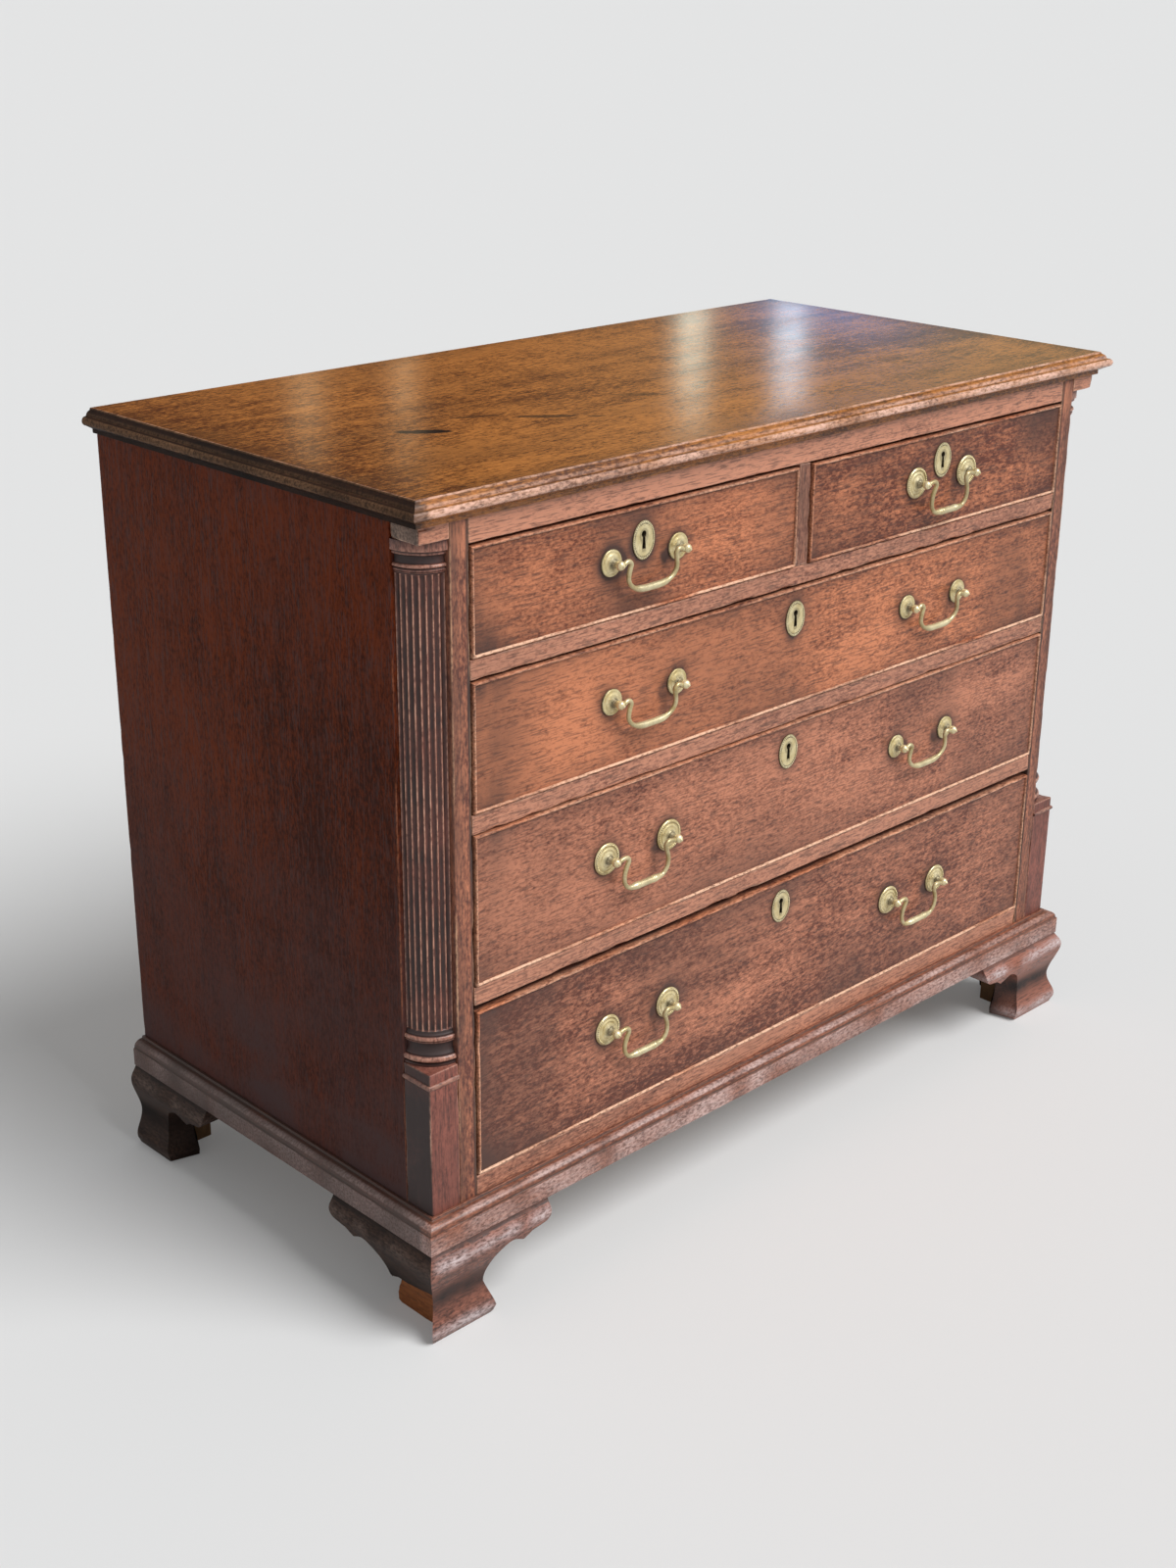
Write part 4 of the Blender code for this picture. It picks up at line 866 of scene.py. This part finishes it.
# Drawer boxes
# Each drawer is a pine box: two sides and a back, dovetailed and planed thin, round a bottom that lies in grooves.
# Their top edges stand a little under that of the drawer front.
labels = ("short_left", "short_right", "long_upper", "long_middle", "long_lower")
box_wall, bottom_rise, bottom_thick = 0.010, 0.009, 0.007
for n, label in enumerate(labels):
    body, node = f"drawer_{label}", f"drawer_box_{label}"
    low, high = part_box(node)
    left, right = low.x + box_wall, high.x - box_wall
    over_bottom = low.z + bottom_rise + bottom_thick
    for name, board_low, board_high, grain, seed, nodes in (
        (f"side_{label}_left", low, (left, high.y, high.z), "Y", 141 + n, [node]),
        (f"side_{label}_right", (right, low.y, low.z), high, "Y", 141 + n, []),
        (f"back_{label}", (left, high.y - box_wall, over_bottom), (right, high.y, high.z), "X", 147 + n, []),
        (f"bottom_{label}", (left, low.y, low.z + bottom_rise), (right, high.y, over_bottom), "X", 153 + n, []),
    ):
        pine_board(f"drawer_{name}", board_low, board_high, grain, seed, body, nodes)

# Drawer fronts
# Each front is one mahogany board, its face bare of moulding and its edges rebated for a cock bead. Polish and
# dirt have darkened it round the edges and the handles, and older handles have left their marks.
drawer_finish = wood(
    "drawer_mahogany", (94, 42, 26), (218, 138, 97), (74, 52, 46), (234, 190, 160), 0.28,
    shine=0.32, figure=0.65, ribbons=1.2,
)
lower_finish = wood(
    "duller_mahogany", (92, 46, 34), (206, 136, 105), (80, 58, 52), (232, 190, 164), 0.30,
    shine=0.32, figure=0.65, ribbons=1.2,
)
bead_wide, rebate, cell = 0.0030, 0.008, 0.0025
mortise_deep, mortise_half, mortise_tall = 0.0103, 0.0313, 0.0523
pit_deep, pit_half, pit_tall = 0.009, 0.0050, 0.0120
plate_half, plate_tall, old_post_in, old_post_down = 0.015, 0.0195, 0.019, 0.006
tones = {
    "short_left": (0.56, 0.0), "short_right": (0.32, 0.0), "long_upper": (0.66, -0.22),
    "long_middle": (0.50, -0.02), "long_lower": (0.26, 0.06),
}
key_down = {
    "short_left": 0.0345, "short_right": 0.0305, "long_upper": 0.0340, "long_middle": 0.0320, "long_lower": 0.0305
}
keys, posts = {}, {}
for n, label in enumerate(labels):
    low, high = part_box(f"drawer_front_{label}")
    lock_low, lock_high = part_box(f"drawer_lock_{label}")
    count = 2 if label.startswith("short") else 4
    for spot in range(1, count + 1):
        post_low, post_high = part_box(f"handle_post_{label}_{spot}")
        posts[label, spot] = (post_low + post_high) / 2, (post_high.x - post_low.x) / 2, post_low.y
    middle_x = (lock_low.x + lock_high.x) / 2
    key_z = high.z - key_down[label]
    keys[label] = middle_x, key_z
    xs = np.arange(low.x + bead_wide, high.x - bead_wide, cell)
    xs = np.concatenate([[low.x, low.x + bead_wide], xs, [high.x - bead_wide] * 2, [high.x]])
    cut = [middle_x - mortise_half, middle_x + mortise_half]
    xs = np.sort(np.concatenate([xs, cut, [cut[0] - 1e-5, cut[1] + 1e-5]]))
    zs = np.linspace(low.z + bead_wide, high.z - bead_wide, int((high.z - low.z) / cell) + 1)
    grid = np.empty((len(xs), len(zs) + 8, 3))
    grid[..., 0] = xs[:, None]
    face = grid[:, : len(zs)]
    face[..., 1], face[..., 2] = front_y, zs
    face[..., 1] += 0.0003 * (patches(face, (0.15, 1, 0.05), 161 + n) - 0.5)
    pit = (np.abs(face[..., 0] - middle_x) < pit_half) & (np.abs(face[..., 2] - key_z) < pit_tall)
    face[..., 1] += np.where(pit, pit_deep, 0)
    face[:2, :, 1] = face[-2:, :, 1] = front_y + rebate
    in_mortise = (xs >= cut[0]) & (xs <= cut[1])
    floor_y = np.where(in_mortise, high.y - mortise_deep, high.y)
    floor_z = high.z - mortise_tall
    outer = grid[:, len(zs):]
    ledge, back = np.full(len(xs), front_y + rebate), np.full(len(xs), high.y)
    outer[..., 1] = np.stack([ledge, ledge, floor_y, floor_y, back, back, ledge, ledge], 1)
    top_in, low_in = high.z - bead_wide, low.z + bead_wide
    outer[..., 2] = [top_in, high.z, high.z, floor_z, floor_z, low.z, low.z, low_in]
    x, z = grid[..., 0], grid[..., 2]
    rim_x = np.minimum(x - low.x, high.x - x)
    rim_z = np.minimum(z - low.z, high.z - z)
    edge_dirt = 0.45 * np.exp(-(rim_x / 0.04)) + 0.40 * np.exp(-(rim_z / 0.014))
    close_by, ghost = np.zeros(x.shape), np.zeros(x.shape)
    blotch = np.clip(2.2 * patches(grid, 0.012, 163) - 0.5, 0, 1)
    for (where, spot), (centre, wide, _) in posts.items():
        if where == label:
            away = np.hypot(x - centre.x, z - centre.z)
            close_by = np.maximum(close_by, 0.75 * np.exp(-np.clip(away - wide, 0, 1) / 0.006))
            inward = 1 if spot % 2 else -1
            old = np.hypot((x - centre.x - inward * old_post_in) / 0.8, z - centre.z + old_post_down)
            ghost = np.maximum(ghost, 0.75 * np.exp(-((old / 0.0095) ** 4)) * blotch)
    away = np.hypot((x - middle_x) / plate_half, (z - key_z + 0.001) / plate_tall)
    close_by = np.maximum(close_by, 0.6 * np.exp(-np.clip(away - 1, 0, 9) / 0.35))
    dirt = (edge_dirt + 0.08) * (0.5 + 0.9 * patches(grid, (0.07, 1, 0.05), 165 + n)) + close_by + ghost
    dirt += np.clip(1.2 * patches(grid, (0.10, 1, 0.16), 169 + n) - 0.6, 0, 0.3)
    level, lean = tones[label]
    tone = level + lean * x / opening_half + 0.35 * (patches(grid, (0.16, 1, 0.06), 167 + n) - 0.5)
    tone += 0.15 * np.clip(rim_z / 0.05, 0, 1)
    board = shell(f"drawer_board_{label}", grid, 0.0, dirt, tone, "X", 161 + n, crease=30)
    finish = drawer_finish if n < 3 else lower_finish
    fix(board, finish, f"drawer_{label}", "mahogany_front", f"drawer_front_{label}")

# Cock beads
# A thin strip with a rounded edge is let into the rebate round each drawer front and mitred at the corners. It
# stands proud of the face, so it has taken the knocks: the polish is rubbed through and small pieces are gone. Its
# flanks are painted dark, as painted shade in the gaps round the drawer, and the worn colour on its crown, strongest
# on its inner half and along the bottom, is partly wear and partly painted highlight.
turn = np.radians(np.linspace(0, 180, 9))
bead = [(0.0001, rebate)] + [
    (bead_wide / 2 - (bead_wide / 2 - 0.0001) * math.cos(t), -0.0009 - 0.0016 * math.sin(t)) for t in turn
] + [(bead_wide - 0.0001, rebate)]
for n, label in enumerate(labels):
    low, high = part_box(f"drawer_front_{label}")
    places, lays = run(
        [(low.x, low.z), (high.x, low.z), (high.x, high.z), (low.x, high.z)], [(1, 1), (-1, 1), (-1, -1), (1, -1)],
        0.003, closed=True,
    )
    grid = carry(places, lays, bead, "XZ")
    grid[..., 1] += front_y
    crown = grid[..., 1] < front_y - 0.0008
    inner_half = np.arange(len(bead)) > 4
    lost = 0.0011 * np.clip(patches(grid, 0.014, 171 + n) * 4 - 2.8, 0, 1) + 0.0002 * patches(grid, 0.03, 173)
    grid[..., 1] += crown * lost
    # The worn colour on the crown, strongest on the inner half and the bottom strip, is partly wear and partly
    # painted highlight.
    rubbed = np.clip(2.6 * patches(grid, (0.07, 1, 0.05), 175 + n) - 0.35, 0, 1)
    worn = crown * np.where(inner_half, 1.0, 0.55) * rubbed * np.where(grid[..., 2] < low.z + 0.006, 1.0, 0.5)
    # Off the crown the bead gets heavy dirt colour, as painted shade in the gaps round the drawer.
    dirt = np.where(crown, 0.25 * patches(grid, 0.05, 177), 0.95)
    strip = shell(f"cock_bead_{label}", grid, worn, dirt, 0.55, "X", 171 + n, joined=True, crease=50)
    fix(strip, drawer_finish, f"drawer_{label}", "mahogany_front")

# Locks and escutcheons
# Each lock is a case let into the back of the drawer front under its top edge. Outside, an oval cast brass plate
# with a beaded border is pinned over the keyhole, and its eye lines the hole.


def brass(name, deep, pale, tarnish, gloss):
    """Old cast brass: pale where hands polish it, olive and dull in the hollows, with fine pits and scratches."""
    finish, tree, shader = new_finish(name)
    deep, pale, tarnish = (paint(*chart) for chart in (deep, pale, tarnish))
    at, wear_and_highlight, grime = (
        add(tree, "ShaderNodeAttribute", attribute_name=label).outputs[socket]
        for label, socket in (("grain_at", "Vector"), ("wear_and_highlight", "Fac"), ("grime", "Fac"))
    )
    cloud = speckle(tree, at, (90, 90, 90), 4, 0.6)
    pit = speckle(tree, at, (900, 900, 900), 3, 0.6)
    colour = blend(tree, weighted(tree, -0.35, (cloud, 1.2), (wear_and_highlight, 0.55)), deep, pale)
    cover = sums(tree, "MULTIPLY", grime, spread_out(tree, pit, 0.35, 0.65, 0.7, 1.3))
    tree.links.new(blend(tree, cover, colour, tarnish), shader.inputs["Base Color"])
    tree.links.new(weighted(tree, gloss - 0.1, (grime, 0.35), (cloud, 0.2)), shader.inputs["Roughness"])
    shader.inputs["Metallic"].default_value = 0.5
    bump = add(tree, "ShaderNodeBump", {"Strength": 0.15, "Distance": 0.0003, "Height": pit})
    tree.links.new(bump.outputs[0], shader.inputs["Normal"])
    return finish


brass_finish = brass("pale_brass", (180, 154, 84), (252, 240, 198), (44, 34, 24), 0.25)
key_round, key_half, key_flare, key_long, key_up = 0.0029, 0.0012, 0.085, 0.0148, 0.0062
plate_thick, plate_points, border_beads, border_at = 0.0016, 368, 46, 0.915
pin_up, pin_radius, pin_proud = 0.0150, 0.0011, 0.0005
case_deep, case_tall = 0.010, 0.052
angle = np.arange(plate_points) / plate_points * 2 * math.pi
heading = np.stack([np.cos(angle), np.sin(angle)], -1)
fall = np.maximum(-heading[:, 1], 1e-6)
slot_side = key_half / np.maximum(np.abs(heading[:, 0]) - key_flare * fall, 1e-6)
slot = np.where(heading[:, 1] < 0, np.minimum(slot_side, key_long / fall), 0)
eye = np.maximum(key_round, slot)[:, None]
rim = 1 / np.hypot(heading[:, 0] / plate_half, heading[:, 1] / plate_tall)[:, None]
across = np.concatenate([[0, 0], np.linspace(0.06, 0.80, 9), np.linspace(0.84, 0.985, 7), [1, 1]])[None, :, None]
inner_edge = (eye * heading + (0, key_up))[:, None]
flat = inner_edge + ((rim * heading)[:, None] - inner_edge) * across
share = np.hypot(flat[..., 0] / plate_half, flat[..., 1] / plate_tall)
lift = np.full(share.shape, plate_thick * 0.72)
lift += 0.0003 * bell((share - 0.80) / 0.03)
spot = np.arctan2(flat[..., 1], flat[..., 0]) * border_beads / (2 * math.pi) % 1 - 0.5
pitch = 2 * math.pi * rim / border_beads
from_bead = np.hypot(spot * pitch, (share - border_at) * rim) / (pitch * 0.48)
lift += 0.00042 * np.sqrt(np.clip(1 - from_bead**2, 0, 1))
lift[:, 0], lift[:, 1] = -0.0070, plate_thick * 0.55
lift[:, -2], lift[:, -1] = plate_thick * 0.4, 0.0001
for up in (pin_up, -pin_up):
    from_pin = (flat[..., 0] ** 2 + (flat[..., 1] - up) ** 2) / pin_radius**2
    lift += pin_proud * np.sqrt(np.clip(1 - from_pin, 0, 1))
dirt = 0.85 * np.exp(-((from_bead - 1.0) ** 2) / 0.05) * (share > 0.82)
dirt += 0.7 * bell((share - 0.85) / 0.02)
dirt[:, 2:5] += 0.4
dirt[:, :2], dirt[:, -2:] = 1.0, 0.9
worn = 0.8 * (from_bead < 0.7) + 0.5
for n, label in enumerate(labels):
    low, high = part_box(f"drawer_front_{label}")
    lock_low, lock_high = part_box(f"drawer_lock_{label}")
    middle_x, key_z = keys[label]
    case_low = (lock_low.x, high.y - case_deep, lock_high.z - case_tall)
    case = plank(f"lock_case_{label}", case_low, lock_high, "X", corner=0.0004, seed=181)
    fix(case, brass_finish, f"drawer_{label}", "brass", f"drawer_lock_{label}")
    grid = np.stack([middle_x + flat[..., 0], front_y - lift, key_z + flat[..., 1]], -1)
    plate = shell(f"escutcheon_{label}", grid, worn, dirt, 0.5, "X", 185 + n, joined=True, crease=60)
    fix(plate, brass_finish, f"drawer_{label}", "brass")

# Handle posts
# Each handle hangs on two cast and turned brass posts: a round rosette against the wood, a short neck and a ball
# that is bored from the inner side for the bail's pin. A bolt runs back through the front to a square nut. Four
# handles have a beaded rosette, and four are plainer ones that were fitted later.
ball_radius, bore_radius, pin_deep = 0.0048, 0.0016, 0.0035
widest_plain, beaded_out, plain_out = 0.016, 0.0148, 0.0130
rose_beads, bead_ring = 42, 0.0149
nut_half, nut_thick = 0.0058, 0.0038


def turned(profile, centre, count, axis="Y"):
    """A profile of (distance along the axis, radius) points carried round an axis through the centre."""
    profile = np.array(profile, float)
    angle = np.arange(count) / count * 2 * math.pi
    grid = np.empty((len(profile), count, 3))
    along, first, second = {"Y": (1, 0, 2), "X": (0, 1, 2)}[axis]
    grid[..., along] = centre[along] + profile[:, :1]
    grid[..., first] = centre[first] + profile[:, 1:] * np.cos(angle)
    grid[..., second] = centre[second] + profile[:, 1:] * np.sin(angle)
    return grid, angle


for (label, spot), (centre, wide, nearest) in posts.items():
    node = f"handle_post_{label}_{spot}"
    beaded = wide > widest_plain
    out = beaded_out if beaded else plain_out
    rosette = [(0.0, 0.0004), (0.0, wide - 0.0004), (-0.0006, wide)]
    if beaded:
        rosette += [(-0.0016, wide - 0.0001), (-0.0022, wide - 0.0006)]
        rosette += [(-0.0026, wide - r) for r in (0.0012, 0.0019, 0.0026, 0.0033)]
        rosette += [(-0.0021, 0.0132), (-0.0020, 0.0126), (-0.0026, 0.0118), (-0.0031, 0.0110), (-0.0032, 0.0100)]
        rosette += [(-0.0027, 0.0092), (-0.0028, 0.0085), (-0.0034, 0.0072), (-0.0041, 0.0058), (-0.0048, 0.0046)]
        rosette += [(-0.0056, 0.0042), (-0.0060, 0.0046), (-0.0066, 0.0047), (-0.0070, 0.0040), (-0.0080, 0.0032)]
    else:
        rosette += [(-0.0013, wide - 0.0002), (-0.0019, wide - 0.0010)]
        rosette += [(-0.0021, wide - 0.0022), (-0.0018, wide - 0.0032), (-0.0020, wide - 0.0038), (-0.0029, 0.0088)]
        rosette += [(-0.0034, 0.0076), (-0.0033, 0.0066), (-0.0037, 0.0058), (-0.0043, 0.0045), (-0.0050, 0.0036)]
        rosette += [(-0.0056, 0.0038), (-0.0060, 0.0041), (-0.0065, 0.0039), (-0.0068, 0.0033)]
    rosette += [(-out + 0.0040, 0.0030), (-out + 0.0030, 0.0026), (-out + 0.0026, 0.0005)]
    at = (centre.x, front_y, centre.z)
    grid, angle = turned(rosette, at, 252 if beaded else 72)
    depth = np.array([y for y, _ in rosette])[:, None]
    reach = np.array([r for _, r in rosette])[:, None]
    dirt = 0.8 * bell((reach - wide) / 0.0016) * (depth > -0.0014)
    dirt = dirt + 0.75 * bell((reach - 0.0042) / 0.002)
    if beaded:
        spot_at = angle * rose_beads / (2 * math.pi) % 1 - 0.5
        pitch = 2 * math.pi * bead_ring / rose_beads
        from_bead = np.hypot(spot_at[None] * pitch, reach - bead_ring) / (pitch * 0.5)
        on_face = depth < -0.0019
        grid[..., 1] -= on_face * 0.0009 * np.sqrt(np.clip(1 - from_bead**2, 0, 1))
        on_ring = on_face * (np.abs(reach - bead_ring) < 0.0016)
        dirt = dirt + 0.7 * on_ring * np.exp(-((from_bead - 1.05) ** 2) / 0.04)
    worn = 0.35 + 0.5 * np.clip((-depth - 0.002) / 0.003, 0, 1) + 0 * grid[..., 0]
    rose = shell(f"rosette_{label}_{spot}", grid, worn, dirt, 0.5, "X", 191 + spot, crease=48)
    fix(rose, brass_finish, f"drawer_{label}", "brass", node)
    toward = 1 if spot % 2 else -1
    mouth = math.asin((bore_radius + 0.0002) / ball_radius)
    turn = np.linspace(mouth, math.pi - 0.03, 22)
    profile = [(toward * (ball_radius - pin_deep - 0.0003), r) for r in (0.0002, bore_radius)]
    profile += [(toward * (ball_radius * math.cos(mouth) - 0.0002), bore_radius)]
    profile += [(toward * ball_radius * math.cos(t), ball_radius * math.sin(t)) for t in turn]
    at = (centre.x, front_y - out, centre.z)
    grid, _ = turned(profile, at, 40, "X")
    ball = shell(f"ball_{label}_{spot}", grid, 0.8, 0.1 * patches(grid, 0.004, 195), 0.5, "X", 197 + spot)
    fix(ball, brass_finish, f"drawer_{label}", "brass")
    tip = [(-out - 0.0040, 0.0003), (-out - 0.0040, 0.0022), (-out - 0.0047, 0.0018), (-out - 0.0053, 0.0013)]
    tip += [(nearest - front_y + 0.0004, 0.0011), (nearest - front_y, 0.0003)]
    grid, _ = turned(tip, (centre.x, front_y, centre.z), 24)
    fix(shell(f"tip_{label}_{spot}", grid, 0.9, 0.1, 0.5, "X", 199), brass_finish, f"drawer_{label}", "brass")
    nut_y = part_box(f"drawer_front_{label}")[1].y + fit_gap
    nut = plank(
        f"nut_{label}_{spot}", (centre.x - nut_half, nut_y, centre.z - nut_half),
        (centre.x + nut_half, nut_y + nut_thick, centre.z + nut_half), "X", corner=0.0004, step=0.004, seed=201,
    )
    fix(nut, brass_finish, f"drawer_{label}", "brass")

# Bails
# Each bail is one cast brass loop that hangs from pins in its posts. It rises from a post, turns over in a swan
# neck and drops to a thicker grip. On the older pattern the grip has two rings at each side of its middle.
neck_radius, bail_pin_radius, lean_out, bail_points = 0.0024, 0.0013, 0.0022, 20
ring_at, ring_wide, ring_proud = (0.0106, 0.0134), 0.0012, 0.0004
for label, spot in [key for key in posts if key[1] % 2]:
    left_post, right_post = posts[label, spot][0], posts[label, spot + 1][0]
    half, middle_x = (right_post.x - left_post.x) / 2, (right_post.x + left_post.x) / 2
    beaded = posts[label, spot][1] > widest_plain
    out, drop, grip = (beaded_out, 0.0355, 0.0041) if beaded else (plain_out, 0.0296, 0.0036)
    if beaded:
        bends = [(0.0072, 0.0008), (0.0122, 0.0016), (0.0160, 0.0008), (0.0181, -0.0028), (0.0160, -0.0085)]
        bends += [(0.0136, -drop * 0.44), (0.0132, -drop * 0.64), (0.0152, -drop * 0.82), (0.0212, -drop * 0.97)]
    else:
        bends = [(0.0070, 0.0012), (0.0096, 0.0022), (0.0126, 0.0016), (0.0149, -0.0016), (0.0138, -0.0063)]
        bends += [(0.0126, -drop * 0.44), (0.0134, -drop * 0.63), (0.0172, -drop * 0.80), (0.0238, -drop * 0.93)]
    bends += [(half - 0.0120, -drop * 0.995), (half, -drop)]
    pin = [(ball_radius - pin_deep, 0.0), (ball_radius + 0.0003, 0.0), (ball_radius + 0.0009, 0.0)]
    left = along_curve(pin + bends, 10)
    fine = np.interp(np.linspace(0, 1, 60), np.linspace(0, 1, 11), left[-11:, 0])
    left = np.vstack([left[:-11], np.stack([fine, np.interp(fine, left[-11:, 0], left[-11:, 1])], -1)])
    left[:, 0] -= half
    route = np.vstack([left, left[-2::-1] * (-1, 1)])
    slope = np.gradient(route, axis=0)
    slope /= np.linalg.norm(slope, axis=1)[:, None]
    side_way = np.abs(route[:, 0])
    swelling = np.clip((0.026 - side_way) / 0.012, 0, 1)
    swelling = swelling * swelling * (3 - 2 * swelling)
    radius = neck_radius + (grip - neck_radius) * swelling
    if beaded:
        rings = sum(np.sqrt(np.clip(1 - ((side_way - at) / ring_wide) ** 2, 0, 1)) for at in ring_at)
        radius = radius - ring_proud * (swelling > 0.5) + ring_proud * np.clip(rings, 0, 1)
    in_bore = side_way > half - ball_radius - fit_gap
    radius[in_bore] = bail_pin_radius
    slope[in_bore] = (1, 0)
    turn = np.arange(bail_points) / bail_points * 2 * math.pi
    grid = np.empty((len(route), bail_points, 3))
    grid[..., 0] = middle_x + route[:, :1] - slope[:, 1:] * radius[:, None] * np.cos(turn)
    lean = lean_out * np.clip(-route[:, 1:] / drop, 0, 1)
    grid[..., 1] = front_y - out + lean + radius[:, None] * np.sin(turn)
    grid[..., 2] = left_post.z + route[:, 1:] + slope[:, :1] * radius[:, None] * np.cos(turn)
    end = "" if label.startswith("short") else ("_left" if spot == 1 else "_right")
    dirt = 0.12 + 0.25 * patches(grid, 0.01, 205) + 0.4 * (np.sin(turn) > 0.7)[None]
    worn = (0.5 + 0.5 * swelling)[:, None] * (0.6 + 0.5 * patches(grid, 0.012, 207))
    loop = shell(f"bail_loop_{label}{end}", grid, worn, dirt, 0.5, "X", 205, crease=50)
    fix(loop, brass_finish, f"bail_{label}{end}", "brass", f"bail_{label}{end}")

# Floor and backdrop
# The chest stands on a plain pale floor that runs out of sight, in an evenly pale room. A little of the floor's
# paleness is its own, so that the shadow on it stays soft.
spread, pale, ambient = 60.0, paint(228, 228, 228), 0.30
floor_mesh = bpy.data.meshes.new("pale_floor")
floor_corners = [(spread * x, spread * y, 0) for x, y in ((-1, -1), (1, -1), (1, 1), (-1, 1))]
floor_mesh.from_pydata(floor_corners, [], [(0, 1, 2, 3)])
stand("pale_floor", floor_mesh)
floor_finish, tree, shader = new_finish("pale_floor")
shader.inputs["Roughness"].default_value = 0.9
shader.inputs["Specular IOR Level"].default_value = 0.0
shader.inputs["Base Color"].default_value = (0.632, 0.636, 0.637, 1)
path = add(tree, "ShaderNodeLightPath").outputs
glow = sums(tree, "MULTIPLY", path["Is Camera Ray"], 0.10)
shader.inputs["Emission Color"].default_value = (1, 1, 1, 1)
tree.links.new(glow, shader.inputs["Emission Strength"])
floor_mesh.materials.append(floor_finish)
room = bpy.data.worlds.new("pale_room")
bpy.context.scene.world = room
room.use_nodes = True
tree = room.node_tree
path = add(tree, "ShaderNodeLightPath").outputs
seen = sums(tree, "MAXIMUM", path["Is Glossy Ray"], path["Is Transmission Ray"])
seen = sums(tree, "MAXIMUM", path["Is Camera Ray"], seen)
tree.links.new(blend(tree, seen, (ambient, ambient, ambient, 1), pale), tree.nodes["Background"].inputs["Color"])

# Light
# Soft daylight comes from the front right, as from a large window. Behind the chest stands a dark screen with
# bright slits, which no camera sees: the polished top mirrors it, as it would a dim room with windows.
lamp = bpy.data.lights.new("window", "SUN")
lamp.energy = 3.15
lamp.angle = math.radians(36)
window = stand("window", lamp)
window.rotation_euler = Vector((0.25, -0.60, 0.76)).to_track_quat("Z", "Y").to_euler()
across, tall = np.meshgrid(np.linspace(-2.6, 2.6, 209), np.linspace(0.87, 3.6, 110), indexing="ij")
heading = np.array([0.6986, 0.7155])
spot = 1.6 * heading + across[..., None] * (heading[1], -heading[0])
points = np.concatenate([spot, tall[..., None]], -1)
rightness = np.clip((across + 0.25) / 0.9, 0, 1)[..., None]
glow = np.array([0.050, 0.037, 0.034]) + rightness * np.array([0.19, 0.235, 0.165])
for middle, wide, top_z, colour in (
    (-0.583, 0.030, 1.36, (0.55, 0.42, 0.25)), (-0.40, 0.022, 1.36, (0.60, 0.46, 0.28)),
    (0.134, 0.029, 1.235, (1.25, 1.38, 1.15)), (0.316, 0.028, 1.225, (1.6, 1.95, 2.25)),
):
    slit = bell((across - middle) / wide) / (1 + np.exp((tall - top_z) / 0.02))
    glow = glow + slit[..., None] * colour
sky = bell((across - 0.40) / 0.18) / (1 + np.exp((tall - 1.065) / 0.010))
glow = glow * (1 - 0.8 * sky[..., None]) + sky[..., None] * (0.22, 0.55, 1.25)
screen_mesh = bpy.data.meshes.new("screen")
number = np.arange(across.size).reshape(across.shape)
faces = np.stack([number[:-1, :-1], number[1:, :-1], number[1:, 1:], number[:-1, 1:]], -1).reshape(-1, 4)
screen_mesh.from_pydata(points.reshape(-1, 3), [], faces.tolist())
colours = np.concatenate([glow, np.ones_like(glow[..., :1])], -1).astype(np.float32)
screen_mesh.attributes.new("glow", "FLOAT_COLOR", "POINT").data.foreach_set("color", colours.ravel())
screen = stand("screen", screen_mesh)
screen.visible_camera = screen.visible_diffuse = screen.visible_shadow = screen.visible_transmission = False
screen_finish, tree, shader = new_finish("screen")
tree.nodes.remove(shader)
glowing = add(tree, "ShaderNodeAttribute", attribute_name="glow").outputs["Color"]
emission = add(tree, "ShaderNodeEmission", {"Color": glowing})
tree.links.new(emission.outputs[0], tree.nodes["Material Output"].inputs["Surface"])
screen_mesh.materials.append(screen_finish)

# Camera
# It stands to the left of the chest and above it, and looks down at its near front corner.
view = bpy.data.cameras.new("camera")
view.lens, view.sensor_width = 48.385, 36.0
view.clip_end = 200.0
camera = stand("camera", view)
camera.matrix_world = Matrix((
    (0.71774012, 0.25484097, -0.64800092, -1.65252278),
    (-0.69626432, 0.27345045, -0.66365718, -1.61967711),
    (0.00806911, 0.92751331, 0.37370303, 1.31367744),
    (0, 0, 0, 1),
))
bpy.context.scene.camera = camera
bpy.context.scene.view_settings.view_transform = "Standard"
